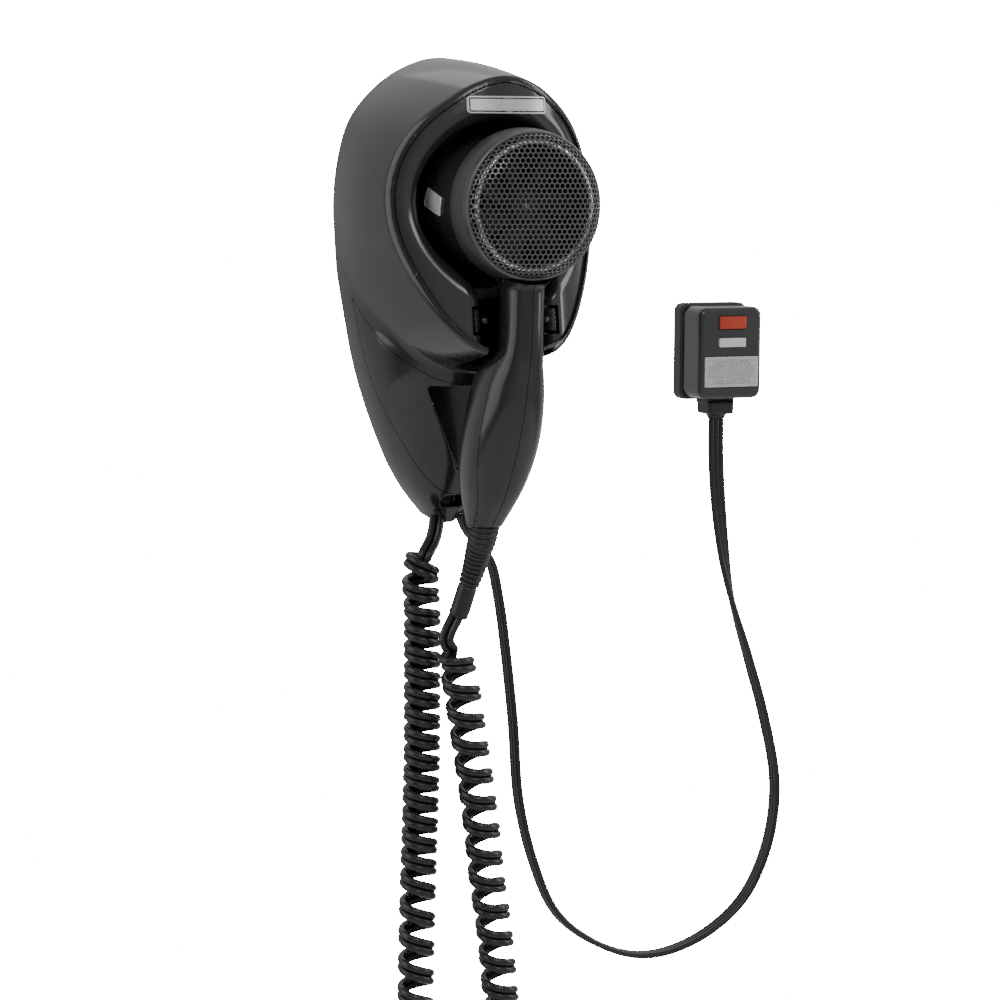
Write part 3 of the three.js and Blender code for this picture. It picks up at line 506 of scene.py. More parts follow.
def curly_cord():
    lines = curly_line()
    length = distances(lines[0])
    even = np.linspace(0, length[-1], int(length[-1] / RING_STEP))
    centres, wide, thick = (read_at(even, length, line) for line in lines)
    section = lobed(CURLY_WIDE, CURLY_THICK, 2)
    cord = swept("curly_cord", centres * MM, wide * MM, thick * MM, section, RUBBER)
    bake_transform(cord)
    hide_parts("coil_stub_holder", "coil_cord", "coil_stub_dryer")


LEAD_WIDE, LEAD_THICK = 4.0, 1.5
# Near the plug the flat lead turns to face the room, over this share of its length.
LEAD_TURNS, LEAD_TURNING = 0.76, 0.2


def power_lead():
    points, along = route(LEAD_ROUTE, 2.0)
    points = np.stack([blurred(column, 2) for column in points.T], -1)
    run = tangents(points)
    share = along / along[-1]
    flat = np.array([0.0, 1.0, 0.0]) + np.zeros_like(points)
    faced = np.array([1.0, 0.0, 0.0]) + np.zeros_like(points)
    near_plug = smooth_step((share - LEAD_TURNS) / LEAD_TURNING)[:, None]
    wide = squared(flat * (1 - near_plug) + faced * near_plug, run)
    thick = np.cross(run, wide)
    section = lobed(LEAD_WIDE, LEAD_THICK, 3)
    lead = swept("power_lead_cord", points * MM, wide * MM, thick * MM, section, RUBBER)
    settle(lead, "root", "power_lead")


make_camera()
curly_cord()
power_lead()

# ---- stage ----

FLOOR_DEPTH, FLOOR_MIDDLE, FLOOR_REACH, FLOOR_SIDES = -0.62, -0.3, 1.1, 96


def make_floor():
    turns = np.linspace(0, 2 * np.pi, FLOOR_SIDES + 1)[:-1]
    ring = [(FLOOR_REACH * math.cos(a), FLOOR_REACH * math.sin(a) + FLOOR_MIDDLE, FLOOR_DEPTH)
            for a in turns]
    n = Nodes("floor_white")
    n.feed("Base Color", n.mixed(n.noise(3.0), (0.7, 0.7, 0.7), (0.74, 0.74, 0.74)))
    n.feed("Roughness", 0.9)
    floor = new_mesh("floor", ring, [tuple(range(FLOOR_SIDES))], n.material, sharp=None)


def softbox(name, place, target, size, power):
    data = bpy.data.lights.new(name, "AREA")
    data.shape = "RECTANGLE"
    data.size, data.size_y = size
    data.energy = power
    light = in_scene(name, data)
    light.location = place
    light.rotation_euler = (Vector(target) - Vector(place)).to_track_quat("-Z", "Y").to_euler()


SEEN_WHITE, AMBIENT = 40.0, 0.1
# Glow of the room behind, to the right, above and in front: the axis it lies on, the two
# places on that axis between which it fades in, and its strength.
GLOWS = [
    ("Y", -0.1, 0.5, 0.47), ("X", 0.2, 0.8, 0.22), ("Z", 0.2, 0.9, 0.34), ("Y", -0.2, -0.9, 0.32),
]


def room_glow(tree):
    """How brightly the room lights the part from each way."""
    way = tree.nodes.new("ShaderNodeSeparateXYZ")
    tree.links.new(tree.nodes.new("ShaderNodeTexCoord").outputs["Generated"], way.inputs["Vector"])
    total = None
    for axis, low, high, glow in GLOWS:
        limits = {"From Min": low, "From Max": high, "To Max": glow}
        part = add_node(tree, "ShaderNodeMapRange", interpolation_type="SMOOTHSTEP", **limits)
        tree.links.new(way.outputs[axis], part.inputs["Value"])
        add = tree.nodes.new("ShaderNodeMath")
        add.inputs[1].default_value = AMBIENT
        tree.links.new(part.outputs["Result"], add.inputs[0])
        if total:
            tree.links.new(total, add.inputs[1])
        total = add.outputs[0]
    return total


def make_world():
    """White where the camera sees it; for light, a pale room all round."""
    world = bpy.data.worlds.new("studio")
    bpy.context.scene.world = world
    world.use_nodes = True
    tree = world.node_tree
    background = tree.nodes["Background"]
    background.inputs["Color"].default_value = (1, 1, 1, 1)
    choice = tree.nodes.new("ShaderNodeMix")
    seen = tree.nodes.new("ShaderNodeLightPath").outputs["Is Camera Ray"]
    tree.links.new(seen, choice.inputs["Factor"])
    tree.links.new(room_glow(tree), choice.inputs["A"])
    choice.inputs["B"].default_value = SEEN_WHITE
    tree.links.new(choice.outputs["Result"], background.inputs["Strength"])


def make_lights():
    softbox("left_box", (-1.7, 0.1, 0.35), (0, 0, -0.05), (1.3, 2.0), 12.0)
    softbox("right_box", (1.7, -0.7, 0.5), (0, 0, -0.05), (0.6, 1.6), 10.0)
    softbox("top_box", (0.6, 0.8, 1.3), (0, 0, 0), (1.6, 1.0), 3.0)
    softbox("front_box", (-0.5, -2.4, 1.3), (0, 0, 0), (1.2, 0.7), 10.0)


make_floor()
make_world()
make_lights()

# ---- carving ----
# A carved piece is where every one of its fields is below zero. A field is a rough
# distance in millimetres. Where two fields meet, the mesh keeps a crisp edge.

CORNERS = np.array([(i, j, k) for i in (0, 1) for j in (0, 1) for k in (0, 1)])
EDGES = [(a, b) for a in range(8) for b in range(a + 1, 8)
         if np.abs(CORNERS[a] - CORNERS[b]).sum() == 1]
NUDGE, ROUNDS, SLACK = 0.02, 5, 0.35


def settled(shape, points, active, low, high, step):
    """Moves each point onto the surfaces of its active fields, near its own cell."""
    for _ in range(ROUNDS):
        values = np.stack(shape(*points.T))
        slopes = np.empty((*values.shape, 3))
        for axis in range(3):
            ahead, behind = points.copy(), points.copy()
            ahead[:, axis] += NUDGE
            behind[:, axis] -= NUDGE
            rise = np.stack(shape(*ahead.T)) - np.stack(shape(*behind.T))
            slopes[..., axis] = rise / (2 * NUDGE)
        gradient = np.moveaxis(slopes, 0, 1) * active[..., None]
        error = values.T * active
        matrix = gradient @ np.swapaxes(gradient, 1, 2) + 1e-3 * np.eye(len(values))
        move = np.einsum("nka,nk->na", gradient, np.linalg.solve(matrix, error[..., None])[..., 0])
        points = points - np.clip(move, -step, step)
        points = np.clip(points, low - SLACK * step, high + SLACK * step)
    return points


def crossing_quads(inside, ids, axis):
    """A quad round every grid edge along the axis whose ends are on different sides."""
    order = [(axis + i) % 3 for i in range(3)]
    inside, ids = inside.transpose(order), ids.transpose(order)
    flips = inside[1:, 1:-1, 1:-1] != inside[:-1, 1:-1, 1:-1]
    i, j, k = np.nonzero(flips)
    around = [(j, k), (j + 1, k), (j + 1, k + 1), (j, k + 1)]
    quads = np.stack([ids[i, b, c] for b, c in around], -1)
    outward = inside[i, j + 1, k + 1]
    return np.where(outward[:, None], quads, quads[:, ::-1])


def split(quads, points, sharpness):
    """Two triangles for each quad, cut along a crisp edge where one crosses it."""
    a, b, c, d = quads.T
    crisp = (sharpness[a] + sharpness[c]) - (sharpness[b] + sharpness[d])
    one, two = (np.linalg.norm(points[i] - points[j], axis=1) for i, j in ((a, c), (b, d)))
    first = np.where(crisp != 0, crisp > 0, one <= two)
    across = np.concatenate([np.stack([a, b, c], -1)[first], np.stack([a, c, d], -1)[first]])
    other = np.concatenate([np.stack([a, b, d], -1)[~first], np.stack([b, c, d], -1)[~first]])
    return np.concatenate([across, other])


def crossings(values, corners):
    """For each cell, the middle of its edge crossings, and the fields that cross there."""
    total = values.max(axis=0)
    points = np.zeros((len(corners), 3))
    hits = np.zeros(len(corners))
    active = np.zeros((len(corners), len(values)), bool)
    for a, b in EDGES:
        crossed = (total[:, a] < 0) != (total[:, b] < 0)
        t = (total[:, a] / np.where(crossed, total[:, a] - total[:, b], 1.0))[:, None]
        points += np.where(crossed[:, None], corners[:, a] * (1 - t) + corners[:, b] * t, 0)
        hits += crossed
        owner = (values[:, :, a] * (1 - t.T) + values[:, :, b] * t.T).argmax(axis=0)
        active[np.nonzero(crossed)[0], owner[crossed]] = True
    return points / hits[:, None], active


def carve(name, shape, low, high, step, material):
    """A mesh of the shape's surface, with one point in each grid cell that it crosses."""
    axes = [np.arange(a - 2 * step, b + 3 * step, step) for a, b in zip(low, high)]
    fields = np.stack(shape(*np.meshgrid(*axes, indexing="ij")))
    inside = fields.max(axis=0) < 0
    full = [slice(None, -1), slice(1, None)]
    count = sum(inside[full[i], full[j], full[k]].astype(np.int8) for i, j, k in CORNERS)
    cells = np.argwhere((count > 0) & (count < 8))
    ids = np.full(count.shape, -1, np.int32)
    ids[tuple(cells.T)] = np.arange(len(cells))
    at = cells[:, None] + CORNERS
    corners = np.array([axis[0] for axis in axes]) + at * step
    points, active = crossings(fields[:, at[..., 0], at[..., 1], at[..., 2]], corners)
    points = settled(shape, points, active, corners[:, 0], corners[:, 7], step)
    quads = np.concatenate([crossing_quads(inside, ids, axis) for axis in range(3)])
    triangles = split(quads, points, active.sum(axis=1))
    return new_mesh(name, placed(points), triangles, material)


def carved(node, body, *how):
    """A carved piece that stands for a CAD node."""
    settle(carve(*how), body, node)


def rounded(a, b, radius):
    """Inside both a and b, with the edge between them rounded."""
    corner = np.hypot(np.maximum(a + radius, 0), np.maximum(b + radius, 0))
    return np.minimum(np.maximum(a, b), -radius) + corner


def filled(a, b, radius):
    """Inside a or b, with a fillet in the crease between them."""
    return -rounded(-a, -b, radius)


def both(*fields):
    return np.maximum.reduce(fields)


def box(x, y, z, low, high, radius=0.0):
    """A box, with its edges rounded."""
    out = [np.maximum(l - v, v - h) + radius for v, l, h in zip((x, y, z), low, high)]
    beyond = np.sqrt(sum(np.maximum(o, 0) ** 2 for o in out))
    return beyond + np.minimum(both(*out), 0) - radius


def squarish(x, z, half, deep, power):
    """A rounded section between an ellipse and its box."""
    u, v = np.abs(x / half), np.abs(z / deep)
    q = np.maximum((u ** power + v ** power) ** (1 / power), 1e-3)
    steep = q ** (1 - power) * np.hypot(u ** (power - 1) / half, v ** (power - 1) / deep)
    return (q - 1) / np.maximum(steep, 1e-3)


def plate(x, y, middle, wide, tall, corner):
    """A rectangle with rounded corners."""
    u = np.abs(x - middle[0]) - wide / 2 + corner
    v = np.abs(y - middle[1]) - tall / 2 + corner
    return np.hypot(np.maximum(u, 0), np.maximum(v, 0)) + np.minimum(np.maximum(u, v), 0) - corner


def ball(x, y, z, middle, radius):
    return np.sqrt((x - middle[0]) ** 2 + (y - middle[1]) ** 2 + (z - middle[2]) ** 2) - radius


# ---- holder ----

WALL = 2.6
DRUM_WALL = Outline([
    (0, 65.5), (22, 59.2), (36.5, 48.4), (45.8, 36.5), (51, 20), (53.3, -2),
    (52.3, -20), (49.4, -42), (42, -62), (28, -77), (0, -84),
])
DRUM_RIM = Outline([
    (0, 57), (16, 52.8), (26, 46.6), (36.8, 37.5), (45.6, 24.5), (50.4, 9),
    (51, -4), (49.3, -16), (44.3, -31), (37.2, -45), (30.4, -54.8), (23, -62),
    (15, -65.8), (0, -67),
], 2.0)
FLANK_BULGE = 1.3
FRONT_DEPTH, FRONT_CURVE, FRONT_LEAN = 78.5, 0.0102, 0.15
RIM_LIP = 1.2
RIM_WIDTH = WALL + 0.2

TAIL_HALF = Curve([
    (-30, 51), (-42, 49.4), (-56, 47.1), (-69, 44.5), (-91, 38.1), (-109, 31.1), (-120, 26.1),
    (-130, 20.2), (-138, 14.2), (-144, 9), (-149, 6), (-153, 4.8),
], 1.4)
TAIL_CREST = Curve([
    (-14, 4), (-24, 24), (-36, 38.5), (-48, 46), (-60, 50), (-75, 49), (-82, 47.5), (-90, 43),
    (-105, 36.5), (-118, 31), (-130, 24.5), (-139, 18.5), (-145, 14), (-149, 11), (-153, 8),
], 2.2)
SEAM_LOW = Curve([
    (-36, 9.5), (-43, 11), (-52, 12.2), (-73, 14), (-93, 17), (-110, 20.5), (-127, 22), (-160, 22),
], 3)
SEAM_TOP = Curve([
    (-30, -1), (-43, 10.5), (-53.5, 19.5), (-63, 28), (-71.2, 36.5), (-77.2, 42.5), (-82, 48),
    (-86, 60), (-92, 90), (-160, 240),
], 1.2)
TAIL_POWER, TAIL_TOP = 2.4, -14.0
TAIL_BOTTOM, TAIL_CHIN = -145.2, 0.28
BORE_R = 37.2
SLOT_HALF = 15.5
SLOT_FLOOR = 51.0
CRADLE_DEPTH = 44.3
LIP_ROUND, KEY_FILLET = 8.5, 9.0
BEZEL_THICK = 2.3
TROUGH_TOP, TROUGH_TIP, TROUGH_FLOOR = -82.5, -122.5, 24.0
TROUGH_WIDE, TROUGH_NARROW, LINING_TOP = 24.0, 3.0, -79.5
COIL_DOOR = (-6.9, -155, 5.4), (-2.1, -141.6, 13.4)
LEAD_DOOR = (6.3, -155, 3.6), (20, -141.6, 13.2)
POCKET_LEFT, POCKET_RIGHT, POCKET_LOW, POCKET_HIGH, POCKET_FLOOR = -6.3, 5.3, -140.0, -134.4, 9.2
SCREW, SCREW_HOLE_R, SCREW_HOLE_END = (-0.5, -136.8), 3.7, 12.0
WINDOW_LOW, WINDOW_HIGH, WINDOW_BACK, WINDOW_SIDE = -57.2, -44.4, 60.5, SLOT_HALF + 5.8
KNOB_OUT, KNOB_UP, KNOB_DEPTH, KNOB_R = SLOT_HALF - 0.4, -50.6, 80.4, 1.6
FINGER_THICK, FINGER_MARGIN = 3.0, 1.5
CUP_LINE = [
    (32, 3.3), (33.6, 38), (38.4, 43.9), (43.4, 43.9), (43.4, 41.9), (39.6, 41.9), (35.8, 37.4),
    (34.2, 3.3),
]


def front_depth(x, y):
    return FRONT_DEPTH - FRONT_CURVE * x * x - FRONT_LEAN * y


def front(x, y, z):
    slope = np.sqrt(1 + (2 * FRONT_CURVE * x) ** 2 + FRONT_LEAN ** 2)
    return (z - front_depth(x, y)) / slope


def drum(x, y, z):
    angle = np.arctan2(y, x)
    wall, rim = DRUM_WALL(angle), DRUM_RIM(angle)
    share = z / front_depth(rim * np.cos(angle), rim * np.sin(angle))
    bulge = FLANK_BULGE * np.sin(np.pi * np.clip(share, 0, 1))
    return np.hypot(x, y) - (wall + (rim - wall) * share + bulge)


def tail(x, y, z):
    hidden = 0.8 * smooth_step((y + 56) / 16)
    half = np.maximum(TAIL_HALF(y) - hidden, 0.2)
    crest = np.maximum(TAIL_CREST(y), 0.2)
    return both(squarish(x, np.maximum(z, 0), half, crest, TAIL_POWER), y - TAIL_TOP)


def holder_form(x, y, z):
    bottom = (TAIL_BOTTOM - TAIL_CHIN * z - y) / math.hypot(1, TAIL_CHIN)
    return rounded(filled(drum(x, y, z), tail(x, y, z), 2.2), bottom, 1.6)


def neck_slot(x, y, z, margin):
    return both(np.abs(x) - SLOT_HALF - margin, y, SLOT_FLOOR - margin - z)


def trough(x, y, z, margin):
    lean = (TROUGH_WIDE - TROUGH_NARROW) / (TROUGH_TOP - TROUGH_TIP)
    side = (np.abs(x) - TROUGH_NARROW - lean * (y - TROUGH_TIP)) / math.hypot(1, lean)
    ends = np.maximum(y - TROUGH_TOP, TROUGH_TIP - y)
    wall = rounded(side, ends, 1.5)
    return rounded(wall, TROUGH_FLOOR - z, 2.5) - margin


def screw_pocket(x, y, z, margin):
    """The recess over the locking screw, or a block that holds it."""
    low = (POCKET_LEFT - margin, POCKET_LOW - margin, POCKET_FLOOR - margin)
    return box(x, y, z, low, (POCKET_RIGHT + margin, POCKET_HIGH + margin, 40), 2.2)


def tail_openings(x, y, z):
    """Doors for the two cords, the recess over the locking screw, and the screw's hole."""
    doors = np.minimum(box(x, y, z, *COIL_DOOR, 2.0), box(x, y, z, *LEAD_DOOR, 1.8))
    hole = both(np.hypot(x - SCREW[0], y - SCREW[1]) - SCREW_HOLE_R, z - SCREW_HOLE_END)
    return np.minimum(doors, np.minimum(hole, screw_pocket(x, y, z, 0)))


def cover_zone(y, z):
    """Below zero where the skin belongs to the tail cover."""
    return both(0.97 * (SEAM_LOW(y) - z), 0.72 * (z - SEAM_TOP(y)))


def holder_skin(x, y, z):
    form = holder_form(x, y, z)
    skin = rounded(form, front(x, y, z) - RIM_LIP, 1.7)
    skin = rounded(skin, -trough(x, y, z, 0), 1.2)
    skin = rounded(skin, -tail_openings(x, y, z), 0.8)
    skin = rounded(skin, -neck_slot(x, y, z, 0), 1.0)
    return [skin, np.minimum(-(form + WALL), screw_pocket(x, y, z, 1.6)), -z]


def key_opening(x, y):
    """Below zero inside the bore and the slot under it."""
    bore = np.hypot(x, y) - BORE_R
    slot = both(np.abs(x) - SLOT_HALF, y)
    return filled(bore, slot, KEY_FILLET)


def bezel_sheet(x, y, z):
    """The front face, rolled into the keyhole opening."""
    return rounded(front(x, y, z), -key_opening(x, y), LIP_ROUND)


def clip_window(x, y, z, margin):
    """The gap in the slot's wall for a clip, drawn in by a margin."""
    low = (8, WINDOW_LOW + margin, WINDOW_BACK + margin)
    return box(np.abs(x), y, z, low, (WINDOW_SIDE - margin, WINDOW_HIGH - margin, 120))


def front_bezel(x, y, z):
    sheet = bezel_sheet(x, y, z)
    rim = np.hypot(x, y) - DRUM_RIM(np.arctan2(y, x)) + RIM_WIDTH + GAP
    face = rounded(sheet, rim, 0.5)
    return [face, -(sheet + BEZEL_THICK), CRADLE_DEPTH - z, -clip_window(x, y, z, 0)]


def trough_lining(x, y, z):
    """A thin dark pan behind the handle, inside the skin."""
    block = both(trough(x, y, z, 2), holder_form(x, y, z) + WALL + GAP, y - LINING_TOP)
    return [block, -trough(x, y, z, 0)]


def clip(side):
    def shape(x, y, z):
        sheet = bezel_sheet(x, y, z)
        finger = both(sheet, -(sheet + FINGER_THICK))
        finger = rounded(finger, clip_window(x, y, z, FINGER_MARGIN), 0.35)
        knob = ball(x, y, z, (side * KNOB_OUT, KNOB_UP, KNOB_DEPTH), KNOB_R)
        return [both(filled(finger, knob, 0.4), -side * x)]
    return shape


def build_holder():
    carved("holder_housing", "root", "housing_shell",
           lambda x, y, z: [*holder_skin(x, y, z), GAP - cover_zone(y, z)],
           (-56, -151, 0), (56, 67, 90), 0.8, GLOSS)
    carved("tail_cover", "root", "tail_cover_leaf",
           lambda x, y, z: [*holder_skin(x, y, z), cover_zone(y, z)],
           (-50, -151, 8), (50, -38, 54), 0.6, GLOSS)
    carved("front_bezel", "root", "bezel_face", front_bezel,
           (-49, -66, 43), (49, 56, 89), 0.7, BEZEL_GLOSS_PAINTED_LIGHT)
    for side, word in ((-1, "left"), (1, "right")):
        carved(f"retaining_clip_{word}", f"clip_{word}", f"clip_finger_{word}", clip(side),
               (17.5 * side - 4.5, -57, 60), (17.5 * side + 4.5, -44, 87), 0.3, BEZEL_GLOSS_PAINTED_LIGHT)
    carved("handle_trough", "root", "trough_lining", trough_lining,
           (-28, -126, 20), (28, -78, 50), 0.7, GLOSS)
    drawn("cradle_cup", "root", "cradle_cup_turned", turned(softened(CUP_LINE, 0.9), 96), SATIN)


build_holder()

# ---- badge and label ----

BADGE_MIDDLE, BADGE_WIDE, BADGE_TALL = (0.2, 43.8), 38.6, 7.8
LABEL_ALONG, LABEL_AROUND, LABEL_SLANT = 61.2, 1.0, math.radians(15)
LABEL_WIDE, LABEL_LONG = 8.7, 16.6
BARREL_R = 31.2
# How far in each plate's groove lies, its half width, how high it starts, and the plate's height.
BADGE_LINE, BADGE_LINE_HALF, BADGE_LINE_LOW, BADGE_HIGH = 1.05, 0.34, 0.35, 1.1
LABEL_LINE, LABEL_LINE_HALF, LABEL_LINE_LOW, LABEL_HIGH = 0.95, 0.22, 0.55, 0.8


def badge(x, y, z):
    """A raised blank plate with a groove inside its edge."""
    side = plate(x, y, BADGE_MIDDLE, BADGE_WIDE, BADGE_TALL, 1.7)
    lift = front(x, y, z)
    line = both(np.abs(side + BADGE_LINE) - BADGE_LINE_HALF, BADGE_LINE_LOW - lift)
    return [rounded(side, lift - BADGE_HIGH, 0.3), GAP - lift, -line]


def label(x, y, z):
    """A blank plate wrapped on the barrel, its front end a little low."""
    around = np.arctan2(y, -x) * BARREL_R - LABEL_AROUND
    along = z - LABEL_ALONG
    low = around * math.cos(LABEL_SLANT) + along * math.sin(LABEL_SLANT)
    far = along * math.cos(LABEL_SLANT) - around * math.sin(LABEL_SLANT)
    side = plate(low, far, (0, 0), LABEL_WIDE, LABEL_LONG, 1.0)
    lift = np.hypot(x, y) - BARREL_R
    line = both(np.abs(side + LABEL_LINE) - LABEL_LINE_HALF, LABEL_LINE_LOW - lift)
    return [rounded(side, lift - LABEL_HIGH, 0.25), GAP - lift, -line]


def build_plates():
    carved("badge_plate", "root", "badge_rounded", badge, (-19.6, 39.6, 65), (20, 48, 74), 0.22, FOIL)
    carved("label_plate", "dryer", "barrel_label", label, (-33, -7, 51), (-27, 9, 71.5), 0.25, FOIL)


build_plates()

# ---- dryer ----

SHELL = 2.0
BARREL = Curve([(16, 25), (24, 25.9), (33, 28.2), (42, 30.1), (52, 31), (62, 31.2), (84, 31.2)], 1.5)
NOZZLE_TIP, BARREL_BACK, NOZZLE_HOLE, NOZZLE_END = 16.0, 83.5, 23.0, 30.0
COLLAR_ROOM, COLLAR_START = 34.3, 81.2
SOCKET_R, SOCKET_DEPTH, SOCKET_TOP = 6.7, 50.4, -142.0
# Handle sections: y, half width, depth at the wall side, depth at the front.
HANDLE = [
    (-12, 11.4, 73, 99.6), (-20, 10.4, 73, 99.4), (-28, 9.5, 74.4, 99), (-34, 9.1, 75.2, 98.3),
    (-50, 8.9, 75.2, 97.8), (-60, 9.2, 75, 97.2), (-65, 9.8, 73.6, 96.6), (-68.5, 10.9, 65.5, 96),
    (-71.5, 12.1, 58.4, 95.3), (-76, 13.5, 55.6, 94.2), (-90, 15.6, 51.2, 91), (-106, 16.4, 46.8, 85),
    (-120, 15.1, 43, 78), (-132, 12, 41, 70.6), (-141, 9.2, 42, 62.4), (-148, 7, 44.6, 55.6),
]
HANDLE_HALF, HANDLE_REAR, HANDLE_FRONT = (
    Curve([(row[0], row[i]) for row in HANDLE], blur) for i, blur in ((1, 1.4), (2, 0.9), (3, 1.8)))
HANDLE_POWER, HANDLE_TOP, HANDLE_BOTTOM = 2.3, -12.0, -146.0
HANDLE_SEAM = Curve([
    (-55, 85), (-66.5, 84.5), (-70, 84), (-76, 83), (-90, 79.6), (-106, 75.2), (-120, 70),
    (-132, 64.4), (-141, 57.5), (-150, 50),
], 1.5)
SEAM_TOP_EDGE = -66.5
# The controls run down a sloping line: y and z at the speed slider, then how far down.
CONTROL_TOP, CONTROL_TILT = (-84.0, 53.1), math.atan2(5, 18)
HEAT_DOWN, COOL_DOWN = 19.0, 36.0
SLIDER_HALF, SLIDER_REACH, COOL_HOLE_R, COOL_R = 4.0, 8.3, 4.3, 3.9
THUMB_HALF, THUMB_REACH, THUMB_ROOT, THUMB_RISE = 3.6, 3.7, -3.9, 1.5
RIDGE_PITCH, RIDGE_HALF, RIDGE_TOP = 2.2, 0.5, 2.3


def barrel(x, y, z):
    return rounded(np.hypot(x, y) - BARREL(z), both(NOZZLE_TIP - z, z - BARREL_BACK), 0.9)


def handle(x, y, z):
    rear, face = HANDLE_REAR(y), HANDLE_FRONT(y)
    side = squarish(x, z - (rear + face) / 2, HANDLE_HALF(y), (face - rear) / 2, HANDLE_POWER)
    return rounded(both(side, y - HANDLE_TOP), HANDLE_BOTTOM - y, 1.4)


def collar_room(x, y, z):
    return both(np.hypot(x, y) - COLLAR_ROOM, COLLAR_START - z)


def dryer_form(x, y, z):
    grip = handle(x, y, z)
    body = filled(barrel(x, y, z), grip, 3.0)
    return np.minimum(body, filled(grip, collar_room(x, y, z), 3.5))


def openings(x, y, z):
    """The nozzle's mouth and the socket for the strain relief."""
    nozzle = both(np.hypot(x, y) - NOZZLE_HOLE, z - NOZZLE_END)
    socket = both(np.hypot(x, z - SOCKET_DEPTH) - SOCKET_R, y - SOCKET_TOP)
    return np.minimum(nozzle, socket)


def dryer_skin(x, y, z):
    form = dryer_form(x, y, z)
    return [form, -(form + SHELL), -collar_room(x, y, z), -openings(x, y, z)]


def rear_zone(y, z):
    """Below zero in the handle's rear cover."""
    return both(0.93 * (z - HANDLE_SEAM(y)), y - SEAM_TOP_EDGE)


def on_controls(y, z):
    """How far down the line of the controls, and how far out from it."""
    up, out = y - CONTROL_TOP[0], z - CONTROL_TOP[1]
    s, c = math.sin(CONTROL_TILT), math.cos(CONTROL_TILT)
    return -up * c - out * s, up * s - out * c


def body_half(side):
    def shape(x, y, z):
        return [*dryer_skin(x, y, z), GAP / 2 - side * x, GAP - rear_zone(y, z)]
    return shape


def control_openings(x, y, z):
    """A slot round each slider and a hole round the cool-shot button."""
    down, lift = on_controls(y, z)
    low, high = (-SLIDER_HALF, -SLIDER_REACH, -8), (SLIDER_HALF, SLIDER_REACH, 8)
    slots = [box(x, down - middle, lift, low, high, 1.2) for middle in (0.0, HEAT_DOWN)]
    return np.minimum(np.minimum(*slots), np.hypot(x, down - COOL_DOWN) - COOL_HOLE_R)


def rear_cover(x, y, z):
    form = dryer_form(x, y, z)
    skin = rounded(form, -control_openings(x, y, z), 0.5)
    return [skin, -(form + SHELL), rear_zone(y, z), -openings(x, y, z)]


def slider(middle):
    def shape(x, y, z):
        down, lift = on_controls(y, z)
        down = down - middle
        ridge = down - RIDGE_PITCH * np.clip(np.round(down / RIDGE_PITCH), -1, 1)
        stem = box(x, down, lift, (-THUMB_HALF, -THUMB_REACH, THUMB_ROOT),
                   (THUMB_HALF, THUMB_REACH, THUMB_RISE), 0.5)
        ridges = box(x, ridge, lift, (-THUMB_HALF, -RIDGE_HALF, 1),
                     (THUMB_HALF, RIDGE_HALF, RIDGE_TOP), 0.35)
        return [np.minimum(stem, ridges)]
    return shape


def cool_button(x, y, z):
    down, lift = on_controls(y, z)
    return [rounded(np.hypot(x, down - COOL_DOWN) - COOL_R, np.abs(lift) - 3.5, 0.9)]


def control_limits(middle):
    """Drawing limits that hold a control."""
    y = CONTROL_TOP[0] - middle * math.cos(CONTROL_TILT)
    z = CONTROL_TOP[1] - middle * math.sin(CONTROL_TILT)
    return (-5, y - 6.5, z - 6.5), (5, y + 6.5, z + 6.5)


def build_dryer():
    for side, word in ((-1, "left"), (1, "right")):
        carved(f"body_{word}_shell", "dryer", f"dryer_{word}_half", body_half(side),
               (min(32 * side, -1), -147, 15), (max(32 * side, 1), 32, 100), 0.8, SHELL_GLOSS)
    carved("handle_rear_cover", "dryer", "handle_back_cover", rear_cover,
           (-18, -147, 40), (18, -66, 86), 0.7, SHELL_GLOSS)
    for word, middle in (("speed", 0.0), ("heat", HEAT_DOWN)):
        carved(f"{word}_slider", f"{word}_switch", f"{word}_thumb", slider(middle),
               *control_limits(middle), 0.3, SATIN)
    carved("cool_shot_button", "cool_button", "cool_button_cap", cool_button,
           *control_limits(COOL_DOWN), 0.3, WHITE)


build_dryer()

# ---- collar and grille ----

COLLAR_LINE = [
    (29.7, 81.5), (29.7, 84.4), (31.5, 85.6), (31.5, 95), (29.4, 95), (29.4, 97), (32.4, 97),
    (33.3, 95), (33.8, 92), (34, 88.5), (34, 84.4), (33.6, 83.6), (33.1, 83.3), (33.1, 81.5),
]
KNURLS, KNURL_CUT, KNURL_END, KNURL_INNER_R = 84, 0.011, 83.2, 32.4
GRILLE_LINE = [
    (0, 105.2, 0), (12, 105.1, 0), (20, 104.8, 0), (24.6, 103.9, 0), (28.2, 102.2, 0), (30.7, 99.9, 0),
    (31.7, 98.2, 0), (31.9, 97.4, 0),
]
GRILLE_PITCH, HOLE_R, SHEET = 2.55, 1.06, 0.6
RING_LINE = [(31.2, 97.1), (31.2, 98), (31.9, 98.5), (32.7, 98.1), (32.7, 97.1)]
LINER_LINE = [(26.4, 93), (26.4, 98.6), (27.4, 99.7), (29.1, 98.6), (29.1, 93)]


def collar_mesh():
    vertices, faces = turned(softened(COLLAR_LINE, 0.6), KNURLS * 6)
    angle = np.arctan2(vertices[:, 1], vertices[:, 0])
    outer = np.hypot(vertices[:, 0], vertices[:, 1]) > KNURL_INNER_R
    edge = (vertices[:, 2] < KNURL_END) & outer
    vertices[:, :2] *= 1 + KNURL_CUT * (edge * np.cos(KNURLS * angle))[:, None]
    return vertices, faces


